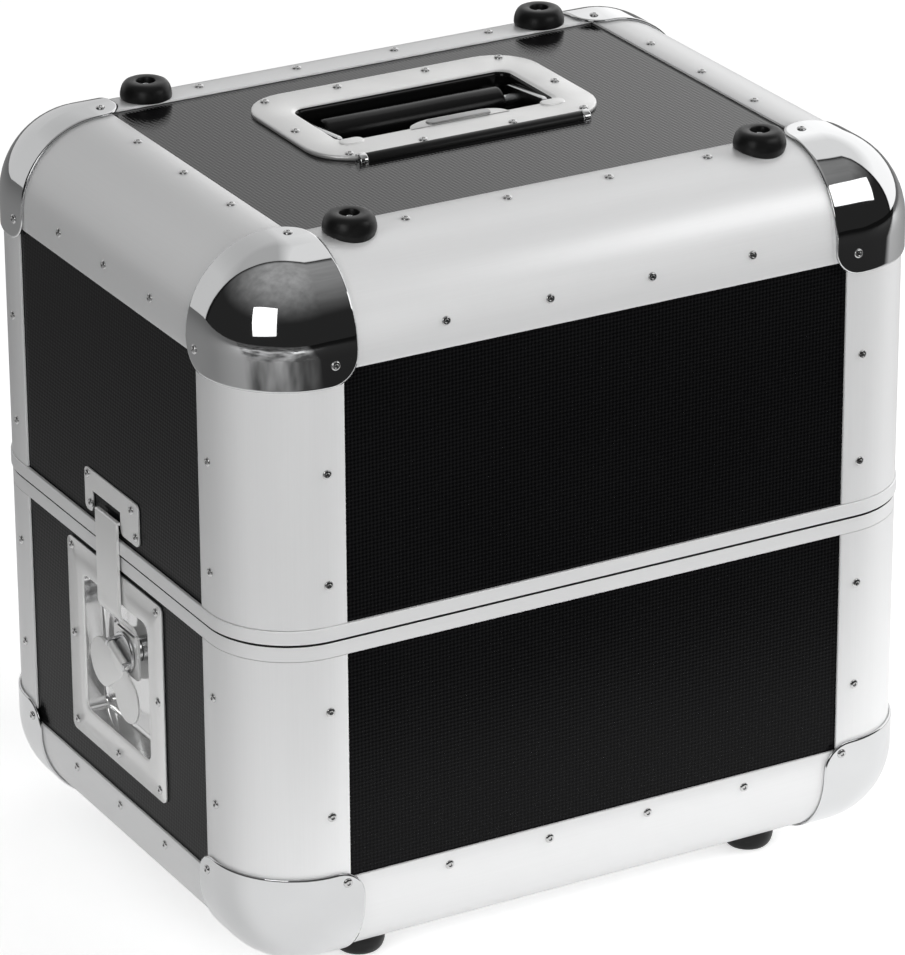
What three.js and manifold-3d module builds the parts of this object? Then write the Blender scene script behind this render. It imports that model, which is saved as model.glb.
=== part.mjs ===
// A carrying case for records that stand on edge. It is split half way up into a base tray and
// a lid that lifts off. Plywood panels sit in hollow rounded aluminium profiles, eight ball
// corners cap the ends of the profiles, and two valance rings meet at the split. The lid carries
// a sunk folding handle. Each end of the case has a sunk butterfly latch.
// Millimetres, +Z up. The origin is the middle of the footprint, level with the underside of
// the lower feet. X runs along the handle and Y across the stack of records.

import * as THREE from "three";
import { mergeVertices } from "three/addons/utils/BufferGeometryUtils.js";
import { RoundedBoxGeometry } from "three/addons/geometries/RoundedBoxGeometry.js";
import Module from "manifold-3d";

const wasm = await Module();
wasm.setup();

// Driving dimensions of the case, without its feet
const CASE_WIDTH = 370;
const CASE_DEPTH = 288;
const CASE_HEIGHT = 360;
const BASE_HEIGHT = 177.5;

// Walls and edges
const PANEL_THICKNESS = 6.8;
const EDGE_RADIUS = 42;
const SKIN = 1.2;
const LEG = 50;
const LOW_FRONT_LEG = 53;
const LOW_SIDE_LEG = 47;
const SEAT = 0.2;
const OVERRUN = 5;

// Ball corners
const BALL_GAP = 0.3;
const BALL_WALL = 1.2;
const BALL_REACH = 57;
const BALL_LOBE_RADIUS = 14;

// Valance rings at the split
const VALANCE_PROUD = 0.8;
const LID_VALANCE = 7.1;
const BASE_VALANCE = 8.7;
const VALANCE_FLOOR = 1.5;
const TONGUE_HEIGHT = 6;
const TONGUE_WALL = 1.3;
const TONGUE_GAP = 0.3;

// Feet, the same above and below
const FOOT_HEIGHT = 8.5;
const FOOT_RADIUS = 12.75;
const FOOT_TOP_RADIUS = 9.5;
const FOOT_BASE_RADIUS = 11.2;
const FOOT_BULGE_HEIGHT = 2.6;
const FOOT_ROUNDING = 1.4;
const FOOT_BORE_RADIUS = 4.6;
const FOOT_BORE_DEPTH = 4.2;
const FOOT_SETTLE = 3;
const FOOT_INSET_X = 75;
const FOOT_INSET_Y = 40;

// Foam lining
const LINING_GAP = 0.4;
const LINING_THICKNESS = 3;
const FLOOR_PAD_THICKNESS = 5;

// Handle in the lid
const HANDLE_LENGTH = 156;
const HANDLE_BREADTH = 98;
const HANDLE_CORNER = 24;
const HANDLE_OFFSET_Y = 24.5;
const MOUTH_LENGTH = 117;
const MOUTH_BREADTH = 50;
const MOUTH_CORNER = 6;
const HANDLE_PLATE = 1.2;
const HANDLE_RAISE = 1;
const HANDLE_DEPTH = 20.5;
const BARREL_LENGTH = 124;
const BARREL_RADIUS = 3;
const STOP_PAD_LENGTH = 38;
const STOP_PAD_BREADTH = 8;
const STOP_PAD_HEIGHT = 1.6;
const EAR_LENGTH = 20;
const EAR_BREADTH = 9;
const GRIP_RADIUS = 8;
const GRIP_LENGTH = 98;
const GRIP_BACK = 38;
const GRIP_DROP = 11.5;
const ARM_THICKNESS = 3;
const ARM_SIDE_GAP = 0.8;
const ARM_GRIP_RADIUS = 7.4;
const ARM_PIVOT_RADIUS = 4.5;
const BAIL_ROD_RADIUS = 3;
const BAIL_PIN_RADIUS = 2.5;
const BAIL_PIVOT_BACK = 8;
const BAIL_PIVOT_DROP = 5.5;
const RUNNING_GAP = 0.3;

// Latch at each end of the case
const LATCH_WIDTH = 101;
const LATCH_HEIGHT = 103.5;
const LATCH_TOP_GAP = 3;
const LATCH_CORNER = 3.5;
const RECESS_WIDTH = 70;
const RECESS_HEIGHT = 72;
const RECESS_TOP_MARGIN = 15.5;
const RECESS_CORNER = 5;
const RECESS_DEPTH = 12;
const LATCH_PLATE = 1.2;
const STRAP_WIDTH = 25.5;
const STRAP_THICKNESS = 1.5;
const STRAP_CLEAR = 0.3;
const STRAP_RISE = 17;
const HOOK_TRAVEL = 5;
const BRACKET_SINK = 5.5;
const BRACKET_DROP = 7;
const SPINDLE_DROP = 29;
const SPINDLE_RADIUS = 4;
const SHOULDER_RADIUS = 6;
const COLLAR_THICKNESS = 1.4;
const ROTOR_RADIUS = 10.5;
const ROTOR_THICKNESS = 1.7;
const LUG_WIDTH = 2;
const WING_PIN_RADIUS = 1.1;
const WING_BARREL_RADIUS = 2;
const WING_BARREL_LENGTH = 16;
const WING_PLATE = 1.8;
const WING_TILT = 21;
const WING_NECK_RADIUS = 6.5;
const WING_NECK_DROP = 8.5;
const WING_LOBE_RADIUS = 12.5;
const WING_LOBE_OUT = 13.5;
const WING_LOBE_DROP = 18;
const STRIKER_WIDTH = 57.5;
const STRIKER_HEIGHT = 22;
const STRIKER_NOTCH = 31;
const STRIKER_BRIDGE = 12;
const STRIKER_RISE = 3.4;
const STRIKER_CORNER = 3;
const CATCH_HEIGHT = 2.4;

// Steps of the curves: a quarter turn takes twice ARC_STEPS, a full circle CIRCLE_STEPS
const ARC_STEPS = 3;
const CIRCLE_STEPS = 24;
const SMALL_CIRCLE_STEPS = 16;

// Places that follow from the sizes above
const HALF_WIDTH = CASE_WIDTH / 2;
const HALF_DEPTH = CASE_DEPTH / 2;
const BODY_BOTTOM = FOOT_HEIGHT + SEAT;
const BODY_TOP = BODY_BOTTOM + CASE_HEIGHT;
const SPLIT = BODY_BOTTOM + BASE_HEIGHT;
const PANEL_FACE = SKIN + SEAT;
const PANEL_BACK = PANEL_FACE + PANEL_THICKNESS;
const INNER_LEG = PANEL_BACK + SEAT;
const WALL = INNER_LEG + SKIN;
const PANEL_EDGE = EDGE_RADIUS + SKIN + SEAT;
const PROFILE_END = LEG + SEAT;
const LINING_FACE = WALL + LINING_GAP;
const LINING_BACK = LINING_FACE + LINING_THICKNESS;
const BASE_RING_TOP = SPLIT - SEAT;

const FINISH = {
  laminate: new THREE.MeshStandardMaterial({ color: 0x17181a, roughness: 0.35, metalness: 0 }),
  aluminium: new THREE.MeshStandardMaterial({ color: 0xd9dbdc, roughness: 0.35, metalness: 0.9 }),
  chrome: new THREE.MeshStandardMaterial({ color: 0xe8eaec, roughness: 0.08, metalness: 1 }),
  rubber: new THREE.MeshStandardMaterial({ color: 0x101112, roughness: 0.6, metalness: 0 }),
  grip: new THREE.MeshStandardMaterial({ color: 0x141516, roughness: 0.5, metalness: 0 }),
  steel: new THREE.MeshStandardMaterial({ color: 0xc9cccf, roughness: 0.25, metalness: 1 }),
  foam: new THREE.MeshStandardMaterial({ color: 0x2a2b2d, roughness: 0.95, metalness: 0 }),
};

// A closed geometry becomes a solid that can be joined and cut
function solid(geometry) {
  const bare = geometry.clone();
  bare.deleteAttribute("normal");
  bare.deleteAttribute("uv");
  const merged = mergeVertices(bare);
  const vertProperties = new Float32Array(merged.attributes.position.array);
  const triVerts = new Uint32Array(merged.index.array);
  return new wasm.Manifold(new wasm.Mesh({ numProp: 3, vertProperties, triVerts }));
}

function geometryOf(shape) {
  const mesh = shape.getMesh();
  const geometry = new THREE.BufferGeometry();
  geometry.setAttribute("position", new THREE.BufferAttribute(mesh.vertProperties, 3));
  geometry.setIndex(new THREE.BufferAttribute(mesh.triVerts, 1));
  return geometry;
}

function join(first, ...others) {
  return others.reduce((sum, other) => sum.add(other), first);
}

function cut(first, ...others) {
  return others.reduce((rest, other) => rest.subtract(other), first);
}

// A box between two corners
function block(low, high) {
  const size = high.map((value, axis) => value - low[axis]);
  const geometry = new THREE.BoxGeometry(...size);
  geometry.translate(...low.map((value, axis) => value + size[axis] / 2));
  return solid(geometry);
}

function cylinder(radius, length, axis, centre, steps = CIRCLE_STEPS) {
  const geometry = new THREE.CylinderGeometry(radius, radius, length, steps);
  if (axis === "x") geometry.rotateZ(Math.PI / 2);
  if (axis === "z") geometry.rotateX(Math.PI / 2);
  geometry.translate(...centre);
  return solid(geometry);
}

// A rectangle with round corners, as a shape or as a hole in one
function roundedRectangle(halfX, halfY, radius, centreX = 0, centreY = 0, Kind = THREE.Shape) {
  const path = new Kind();
  const [x, y] = [halfX - radius, halfY - radius];
  path.absarc(centreX + x, centreY + y, radius, 0, Math.PI / 2);
  path.absarc(centreX - x, centreY + y, radius, Math.PI / 2, Math.PI);
  path.absarc(centreX - x, centreY - y, radius, Math.PI, Math.PI * 1.5);
  path.absarc(centreX + x, centreY - y, radius, Math.PI * 1.5, Math.PI * 2);
  path.closePath();
  return path;
}

function extrude(shape, from, to, steps = ARC_STEPS) {
  const options = { depth: to - from, bevelEnabled: false, curveSegments: steps };
  const geometry = new THREE.ExtrudeGeometry(shape, options);
  geometry.translate(0, 0, from);
  return geometry;
}

// The plan of the case drawn in by an inset, and a wall that follows it between two levels
function plan(inset, Kind = THREE.Shape) {
  return roundedRectangle(HALF_WIDTH - inset, HALF_DEPTH - inset, EDGE_RADIUS - inset, 0, 0, Kind);
}

function ringWall(outerInset, innerInset, from, to) {
  const shape = plan(outerInset);
  shape.holes.push(plan(innerInset, THREE.Path));
  return solid(extrude(shape, from, to));
}

function piece(name, geometry, finish) {
  const mesh = new THREE.Mesh(geometry, FINISH[finish].clone());
  mesh.name = name;
  return mesh;
}

// Section of a hollow edge profile. Its corner is the point where the two outer faces would
// meet, and the two faces run along the axes. Each face has an outer leg over the panel, and an
// inner leg behind it, and the panel's edge stands in the slot between them.
function profileSection(firstLeg, secondLeg) {
  const web = EDGE_RADIUS + SKIN;
  const innerRadius = EDGE_RADIUS - WALL;
  const section = new THREE.Shape();
  section.absarc(EDGE_RADIUS, EDGE_RADIUS, EDGE_RADIUS, Math.PI, Math.PI * 1.5);
  section.lineTo(firstLeg, 0);
  section.lineTo(firstLeg, SKIN);
  section.lineTo(web, SKIN);
  section.lineTo(web, INNER_LEG);
  section.lineTo(LEG, INNER_LEG);
  section.lineTo(LEG, WALL);
  section.absarc(EDGE_RADIUS, EDGE_RADIUS, innerRadius, Math.PI * 1.5, Math.PI, true);
  section.lineTo(WALL, LEG);
  section.lineTo(INNER_LEG, LEG);
  section.lineTo(INNER_LEG, web);
  section.lineTo(SKIN, web);
  section.lineTo(SKIN, secondLeg);
  section.lineTo(0, secondLeg);
  section.closePath();
  const chamber = new THREE.Path();
  chamber.absarc(EDGE_RADIUS, EDGE_RADIUS, EDGE_RADIUS - SKIN, Math.PI, Math.PI * 1.5);
  chamber.absarc(EDGE_RADIUS, EDGE_RADIUS, EDGE_RADIUS - INNER_LEG, Math.PI * 1.5, Math.PI, true);
  chamber.closePath();
  section.holes.push(chamber);
  return section;
}

// One profile of a set of parallel ones. The turn brings its section round to its own corner.
function edgeProfile(name, corner, turn, legs, from, to) {
  const mesh = piece(name, extrude(profileSection(...legs), from, to), "aluminium");
  mesh.position.set(corner[0], corner[1], 0);
  mesh.rotation.z = turn * Math.PI / 2;
  return mesh;
}

// Upright profiles of one half, from its valance ring to the corner that caps them
function posts(half, from, to) {
  const group = new THREE.Group();
  const corners = {
    front_left: [-HALF_WIDTH, -HALF_DEPTH],
    front_right: [HALF_WIDTH, -HALF_DEPTH],
    back_right: [HALF_WIDTH, HALF_DEPTH],
    back_left: [-HALF_WIDTH, HALF_DEPTH],
  };
  Object.entries(corners).forEach(([place, corner], turn) => {
    group.add(edgeProfile(`${half}_post_${place}`, corner, turn, [LEG, LEG], from, to));
  });
  return group;
}

// Level profiles round the closed face of one half. Inside the turned groups the extrusion
// runs along the case, and the two remaining axes follow in order.
function rails(half) {
  const top = half === "lid";
  const level = top ? BODY_TOP : BODY_BOTTOM;
  const frontLeg = top ? LEG : LOW_FRONT_LEG;
  const sideLeg = top ? LEG : LOW_SIDE_LEG;
  const third = Math.PI * 2 / 3;
  const diagonal = new THREE.Vector3(1, 1, 1).normalize();
  const alongX = new THREE.Group();
  alongX.quaternion.setFromAxisAngle(diagonal, third);
  const reachX = HALF_WIDTH - PROFILE_END;
  const frontTurn = top ? 3 : 0;
  const backTurn = top ? 2 : 1;
  const frontLegs = top ? [frontLeg, LEG] : [LEG, frontLeg];
  alongX.add(edgeProfile(`${half}_rail_front`, [-HALF_DEPTH, level], frontTurn, frontLegs, -reachX, reachX));
  const backLegs = [...frontLegs].reverse();
  alongX.add(edgeProfile(`${half}_rail_back`, [HALF_DEPTH, level], backTurn, backLegs, -reachX, reachX));
  const alongY = new THREE.Group();
  alongY.quaternion.setFromAxisAngle(diagonal, -third);
  const reachY = HALF_DEPTH - PROFILE_END;
  const leftTurn = top ? 1 : 0;
  const rightTurn = top ? 2 : 3;
  const leftLegs = top ? [LEG, sideLeg] : [sideLeg, LEG];
  alongY.add(edgeProfile(`${half}_rail_left`, [level, -HALF_WIDTH], leftTurn, leftLegs, -reachY, reachY));
  const rightLegs = [...leftLegs].reverse();
  alongY.add(edgeProfile(`${half}_rail_right`, [level, HALF_WIDTH], rightTurn, rightLegs, -reachY, reachY));
  const group = new THREE.Group();
  group.add(alongX, alongY);
  return group;
}

// Four side panels of one half. They stand in the slots of the posts, the rails and the ring.
function sidePanels(half, from, to, latchWindow) {
  const spanX = HALF_WIDTH - PANEL_EDGE;
  const spanY = HALF_DEPTH - PANEL_EDGE;
  const faceX = HALF_WIDTH - PANEL_FACE;
  const backX = HALF_WIDTH - PANEL_BACK;
  const faceY = HALF_DEPTH - PANEL_FACE;
  const backY = HALF_DEPTH - PANEL_BACK;
  const solids = {
    front: block([-spanX, -faceY, from], [spanX, -backY, to]),
    back: block([-spanX, backY, from], [spanX, faceY, to]),
    left: block([-faceX, -spanY, from], [-backX, spanY, to]),
    right: block([backX, -spanY, from], [faceX, spanY, to]),
  };
  if (latchWindow) {
    solids.left = cut(solids.left, latchWindow);
    solids.right = cut(solids.right, latchWindow);
  }
  const group = new THREE.Group();
  for (const [side, shape] of Object.entries(solids)) {
    group.add(piece(`${half}_panel_${side}`, geometryOf(shape), "laminate"));
  }
  return group;
}

// The flat top or bottom panel of a half
function flatPanel(outerLevel, inward, window) {
  const spanX = HALF_WIDTH - PANEL_EDGE;
  const spanY = HALF_DEPTH - PANEL_EDGE;
  const levels = [outerLevel + inward * PANEL_FACE, outerLevel + inward * PANEL_BACK];
  const panel = block([-spanX, -spanY, Math.min(...levels)], [spanX, spanY, Math.max(...levels)]);
  return window ? cut(panel, window) : panel;
}

// Everything that lies inside a case corner whose edges have been grown to a larger radius.
// The sphere stands where the three edge roundings meet.
function cornerBulk(radius) {
  const far = BALL_REACH + OVERRUN;
  const sphere = solid(new THREE.SphereGeometry(radius, CIRCLE_STEPS, CIRCLE_STEPS / 2));
  const bars = ["x", "y", "z"].map((axis, index) => {
    const centre = [0, 0, 0];
    centre[index] = far / 2;
    return cylinder(radius, far, axis, centre);
  });
  const slabs = [0, 1, 2].map((index) => {
    const low = [0, 0, 0];
    low[index] = -radius;
    return block(low, [far, far, far]);
  });
  return join(sphere, ...bars, ...slabs);
}

// The outline of a ball corner on one face: a square with its inner corner rounded
function lobeOutline() {
  const near = -EDGE_RADIUS - OVERRUN;
  const reach = BALL_REACH - EDGE_RADIUS;
  const shape = new THREE.Shape();
  shape.moveTo(near, near);
  shape.lineTo(reach, near);
  const centre = reach - BALL_LOBE_RADIUS;
  shape.absarc(centre, centre, BALL_LOBE_RADIUS, 0, Math.PI / 2);
  shape.lineTo(near, reach);
  shape.closePath();
  return extrude(shape, near, reach);
}

// A pressed ball corner, drawn for the corner at the lowest X, Y and Z
function ballCornerShape() {
  const outer = cornerBulk(EDGE_RADIUS + BALL_GAP + BALL_WALL);
  const inner = cornerBulk(EDGE_RADIUS + BALL_GAP);
  const shell = cut(outer, inner);
  const diagonal = new THREE.Vector3(1, 1, 1).normalize();
  const turns = [0, Math.PI * 2 / 3, Math.PI * 4 / 3];
  const outlines = turns.map((angle) => {
    const turned = new THREE.Matrix4().makeRotationAxis(diagonal, angle);
    return solid(lobeOutline().applyMatrix4(turned));
  });
  return outlines.reduce((rest, outline) => rest.intersect(outline), shell);
}

// Turning the corner piece about the upright axis brings it to the four corners of the base,
// and a half turn about X brings the same piece to the lid.
function ballCorners(half) {
  const geometry = geometryOf(ballCornerShape());
  const top = half === "lid";
  const centreX = HALF_WIDTH - EDGE_RADIUS;
  const centreY = HALF_DEPTH - EDGE_RADIUS;
  const level = top ? BODY_TOP - EDGE_RADIUS : BODY_BOTTOM + EDGE_RADIUS;
  const places = {
    front_left: [-centreX, -centreY, 0],
    front_right: [centreX, -centreY, 1],
    back_right: [centreX, centreY, 2],
    back_left: [-centreX, centreY, 3],
  };
  const group = new THREE.Group();
  for (const [place, [x, y, turn]] of Object.entries(places)) {
    const corner = piece(`${half}_ball_corner_${place}`, geometry, "chrome");
    corner.rotation.set(top ? Math.PI : 0, 0, (top ? turn + 1 : turn) * Math.PI / 2, "ZYX");
    corner.position.set(x, y, level);
    group.add(corner);
  }
  return group;
}

// Valance rings. The base ring carries an upright tongue that centres the lid.
function lidValance() {
  const top = SPLIT + LID_VALANCE;
  return join(
    ringWall(-VALANCE_PROUD, SKIN, SPLIT, top),
    ringWall(-VALANCE_PROUD, WALL, SPLIT, SPLIT + VALANCE_FLOOR),
    ringWall(INNER_LEG, WALL, SPLIT, top),
  );
}

function baseValance() {
  const tongue = WALL + TONGUE_GAP;
  const bottom = SPLIT - BASE_VALANCE;
  const floor = BASE_RING_TOP - VALANCE_FLOOR;
  return join(
    ringWall(0, SKIN, bottom, BASE_RING_TOP),
    ringWall(0, tongue + TONGUE_WALL, floor, BASE_RING_TOP),
    ringWall(INNER_LEG, WALL, bottom, BASE_RING_TOP),
    ringWall(tongue, tongue + TONGUE_WALL, floor, SPLIT + TONGUE_HEIGHT),
  );
}

// A rubber foot, turned about its axis, with a blind hole for its screw. It starts below the
// face that it stands on, and is then cut to the rounded edge under its outer half.
function footShape() {
  const top = FOOT_HEIGHT;
  const points = [
    [0, -FOOT_SETTLE],
    [FOOT_BASE_RADIUS, -FOOT_SETTLE],
    [FOOT_BASE_RADIUS, 0],
    [FOOT_RADIUS, FOOT_BULGE_HEIGHT],
    [FOOT_TOP_RADIUS + FOOT_ROUNDING, top - FOOT_ROUNDING],
    [FOOT_TOP_RADIUS, top],
    [FOOT_BORE_RADIUS, top],
    [FOOT_BORE_RADIUS, top - FOOT_BORE_DEPTH],
    [0, top - FOOT_BORE_DEPTH],
  ];
  const profile = points.map(([radius, height]) => new THREE.Vector2(radius, height));
  const geometry = new THREE.LatheGeometry(profile, SMALL_CIRCLE_STEPS);
  geometry.rotateX(Math.PI / 2);
  return solid(geometry);
}

// The outer face and edge rounding under a foot of the front row, with the foot at the origin
function footSeat() {
  const flatFrom = EDGE_RADIUS - FOOT_INSET_Y;
  const reach = FOOT_RADIUS * 2;
  const bar = cylinder(EDGE_RADIUS, reach * 2, "x", [0, flatFrom, -EDGE_RADIUS], CIRCLE_STEPS * 2);
  if (flatFrom > reach) return bar;
  return join(bar, block([-reach, flatFrom, -EDGE_RADIUS], [reach, reach, 0]));
}

function feet(half) {
  const top = half === "lid";
  const geometry = geometryOf(cut(footShape(), footSeat()));
  const x = HALF_WIDTH - FOOT_INSET_X;
  const y = HALF_DEPTH - FOOT_INSET_Y;
  const level = top ? BODY_TOP + SEAT : BODY_BOTTOM - SEAT;
  const places = {
    front_left: [-x, -y, 0],
    front_right: [x, -y, 0],
    back_right: [x, y, 2],
    back_left: [-x, y, 2],
  };
  const group = new THREE.Group();
  for (const [place, [footX, footY, turn]] of Object.entries(places)) {
    const foot = piece(`${half}_foot_${place}`, geometry, "rubber");
    foot.rotation.set(top ? 0 : Math.PI, 0, (top ? turn : turn + 2) * Math.PI / 2, "ZYX");
    foot.position.set(footX, footY, level);
    group.add(foot);
  }
  return group;
}

// A box with all its edges rounded, drawn in from the faces of the case
function hollowBulk(inset) {
  const size = [CASE_WIDTH, CASE_DEPTH, CASE_HEIGHT].map((length) => length - inset * 2);
  const geometry = new RoundedBoxGeometry(...size, 2, EDGE_RADIUS - inset);
  geometry.translate(0, 0, BODY_BOTTOM + CASE_HEIGHT / 2);
  return solid(geometry);
}

// Foam glued to the inside of a half, with windows for what sinks into the case
function liningShape(from, to, windows) {
  const shell = cut(hollowBulk(LINING_FACE), hollowBulk(LINING_BACK));
  const slice = block([-HALF_WIDTH, -HALF_DEPTH, from], [HALF_WIDTH, HALF_DEPTH, to]);
  return cut(shell.intersect(slice), ...windows);
}

function floorPadShape() {
  const floor = BODY_BOTTOM + LINING_BACK + SEAT;
  const slice = block([-HALF_WIDTH, -HALF_DEPTH, floor], [HALF_WIDTH, HALF_DEPTH, floor + FLOOR_PAD_THICKNESS]);
  return hollowBulk(LINING_BACK + LINING_GAP).intersect(slice);
}

// Handle: a pressed dish with a flange, sunk into the lid. Heights count from the case's top.
const HANDLE_TOP = BODY_TOP + HANDLE_RAISE;
const HANDLE_SEAT = BODY_TOP - PANEL_FACE + SEAT;
const MOUTH_FRONT = HANDLE_OFFSET_Y - MOUTH_BREADTH / 2;
const PIVOT_Y = MOUTH_FRONT + BAIL_PIVOT_BACK;
const PIVOT_Z = HANDLE_TOP - BAIL_PIVOT_DROP;
const GRIP_Y = MOUTH_FRONT + GRIP_BACK;
const GRIP_Z = HANDLE_TOP - GRIP_DROP;
const ARM_OUTER = MOUTH_LENGTH / 2 - ARM_SIDE_GAP;
const ARM_INNER = ARM_OUTER - ARM_THICKNESS;

function mouth(grow, Kind = THREE.Shape) {
  const halfX = MOUTH_LENGTH / 2 + grow;
  const halfY = MOUTH_BREADTH / 2 + grow;
  return roundedRectangle(halfX, halfY, MOUTH_CORNER + grow, 0, HANDLE_OFFSET_Y, Kind);
}

function flange(inset, Kind = THREE.Shape) {
  const halfX = HANDLE_LENGTH / 2 - inset;
  const halfY = HANDLE_BREADTH / 2 - inset;
  return roundedRectangle(halfX, halfY, HANDLE_CORNER - inset, 0, HANDLE_OFFSET_Y, Kind);
}

function handleWindow() {
  const clear = HANDLE_PLATE + RUNNING_GAP;
  return solid(extrude(mouth(clear), BODY_TOP - HANDLE_DEPTH - OVERRUN, BODY_TOP + OVERRUN));
}

// A low round-backed rib that lies on the flange along X
function rib(length, breadth, height, centreX, centreY) {
  const radius = (breadth * breadth / 4 + height * height) / (height * 2);
  const centre = [centreX, centreY, HANDLE_TOP + height - radius];
  const round = cylinder(radius, length, "x", centre, CIRCLE_STEPS * 2);
  const low = [centreX - length, centreY - breadth, HANDLE_TOP - HANDLE_PLATE / 2];
  const high = [centreX + length, centreY + breadth, HANDLE_TOP + radius];
  return round.intersect(block(low, high));
}

function handleDishShape() {
  const plate = flange(0);
  plate.holes.push(mouth(0, THREE.Path));
  const lip = flange(0);
  lip.holes.push(flange(HANDLE_PLATE, THREE.Path));
  const walls = mouth(HANDLE_PLATE);
  walls.holes.push(mouth(0, THREE.Path));
  const floor = HANDLE_TOP - HANDLE_DEPTH;
  const front = HANDLE_OFFSET_Y - HANDLE_BREADTH / 2;
  const barrel = cylinder(BARREL_RADIUS, BARREL_LENGTH, "x", [0, front, HANDLE_SEAT]);
  const above = block(
    [-BARREL_LENGTH, front - BARREL_RADIUS * 2, HANDLE_SEAT],
    [BARREL_LENGTH, front + BARREL_RADIUS, HANDLE_TOP],
  );
  const earX = MOUTH_LENGTH / 2 - EAR_LENGTH / 4;
  const earY = MOUTH_FRONT - EAR_BREADTH / 2 - SEAT;
  const padY = MOUTH_FRONT - STOP_PAD_BREADTH / 2 - SEAT;
  const pinHole = cylinder(
    BAIL_PIN_RADIUS + RUNNING_GAP, MOUTH_LENGTH * 2, "x", [0, PIVOT_Y, PIVOT_Z], SMALL_CIRCLE_STEPS,
  );
  const dish = join(
    solid(extrude(plate, HANDLE_TOP - HANDLE_PLATE, HANDLE_TOP)),
    solid(extrude(lip, HANDLE_SEAT, HANDLE_TOP)),
    solid(extrude(walls, floor - HANDLE_PLATE, HANDLE_TOP)),
    solid(extrude(mouth(HANDLE_PLATE), floor - HANDLE_PLATE, floor)),
    barrel.intersect(above),
    rib(STOP_PAD_LENGTH, STOP_PAD_BREADTH, STOP_PAD_HEIGHT, 0, padY),
    rib(EAR_LENGTH, EAR_BREADTH, STOP_PAD_HEIGHT, -earX, earY),
    rib(EAR_LENGTH, EAR_BREADTH, STOP_PAD_HEIGHT, earX, earY),
  );
  return cut(dish, pinHole);
}

// The outline round two circles and their common outer tangents, such as an arm or a wing
function outlineRound([x1, y1, r1], [x2, y2, r2]) {
  const distance = Math.hypot(x2 - x1, y2 - y1);
  const heading = Math.atan2(y2 - y1, x2 - x1);
  const spread = Math.acos((r1 - r2) / distance);
  const shape = new THREE.Shape();
  shape.absarc(x1, y1, r1, heading + spread, heading - spread + Math.PI * 2);
  shape.absarc(x2, y2, r2, heading - spread, heading + spread);
  shape.closePath();
  return shape;
}

function armShape() {
  return outlineRound([PIVOT_Y, PIVOT_Z, ARM_PIVOT_RADIUS], [GRIP_Y, GRIP_Z, ARM_GRIP_RADIUS]);
}

// Shapes drawn in the Y-Z plane are extruded along X by turning them the same way each time
function extrudeAlongX(shape, from, to, steps) {
  const geometry = extrude(shape, from, to, steps);
  const turned = new THREE.Matrix4().makeRotationAxis(
    new THREE.Vector3(1, 1, 1).normalize(), Math.PI * 2 / 3,
  );
  return solid(geometry.applyMatrix4(turned));
}

function bailShape() {
  const rodLength = ARM_OUTER * 2;
  const pinEnd = MOUTH_LENGTH / 2 + HANDLE_PLATE;
  const pinCentre = (ARM_INNER + pinEnd) / 2;
  const pinLength = pinEnd - ARM_INNER;
  return join(
    extrudeAlongX(armShape(), -ARM_OUTER, -ARM_INNER, ARC_STEPS * 2),
    extrudeAlongX(armShape(), ARM_INNER, ARM_OUTER, ARC_STEPS * 2),
    cylinder(BAIL_ROD_RADIUS, rodLength, "x", [0, GRIP_Y, GRIP_Z], SMALL_CIRCLE_STEPS),
    cylinder(BAIL_PIN_RADIUS, pinLength, "x", [-pinCentre, PIVOT_Y, PIVOT_Z], SMALL_CIRCLE_STEPS),
    cylinder(BAIL_PIN_RADIUS, pinLength, "x", [pinCentre, PIVOT_Y, PIVOT_Z], SMALL_CIRCLE_STEPS),
  );
}

function gripShape() {
  const centre = [0, GRIP_Y, GRIP_Z];
  const outside = cylinder(GRIP_RADIUS, GRIP_LENGTH, "x", centre, CIRCLE_STEPS);
  const bore = cylinder(
    BAIL_ROD_RADIUS + RUNNING_GAP, GRIP_LENGTH + OVERRUN, "x", centre, SMALL_CIRCLE_STEPS,
  );
  return cut(outside, bore);
}

// Latch: drawn for the left end, where -X is outwards, in its own frame. X there counts from the
// outer face of the case, Y from the middle of the end, and Z from the axis of the spindle.
const LATCH_TOP = SPLIT - BASE_VALANCE - LATCH_TOP_GAP;
const RECESS_TOP = LATCH_TOP - RECESS_TOP_MARGIN;
const SPINDLE_Z = RECESS_TOP - SPINDLE_DROP;
const PLATE_BACK = PANEL_FACE - SEAT;
const FLOOR_FACE = PLATE_BACK + RECESS_DEPTH - LATCH_PLATE;
const STRAP_BACK = -VALANCE_PROUD - STRAP_CLEAR;
const STRAP_FACE = STRAP_BACK - STRAP_THICKNESS;
const RECESS_UP = RECESS_TOP - SPINDLE_Z;
const FOLD_UP = RECESS_UP - HOOK_TRAVEL - RUNNING_GAP;
const ROTOR_FACE = BRACKET_SINK - RUNNING_GAP - ROTOR_THICKNESS;
const WING_PIN_X = ROTOR_FACE - RUNNING_GAP - WING_BARREL_RADIUS;
const LUG_INNER = WING_BARREL_LENGTH / 2 + RUNNING_GAP;
const LUG_OUTER = LUG_INNER + LUG_WIDTH;

function recessOutline(grow, Kind = THREE.Shape) {
  const centre = RECESS_UP - RECESS_HEIGHT / 2;
  const halfWidth = RECESS_WIDTH / 2 + grow;
  return roundedRectangle(halfWidth, RECESS_HEIGHT / 2 + grow, RECESS_CORNER + grow, 0, centre, Kind);
}

function latchWindow() {
  const clear = LATCH_PLATE + RUNNING_GAP;
  const window = extrudeAlongX(recessOutline(clear), -CASE_WIDTH, CASE_WIDTH);
  return window.translate([0, 0, SPINDLE_Z]);
}

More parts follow.
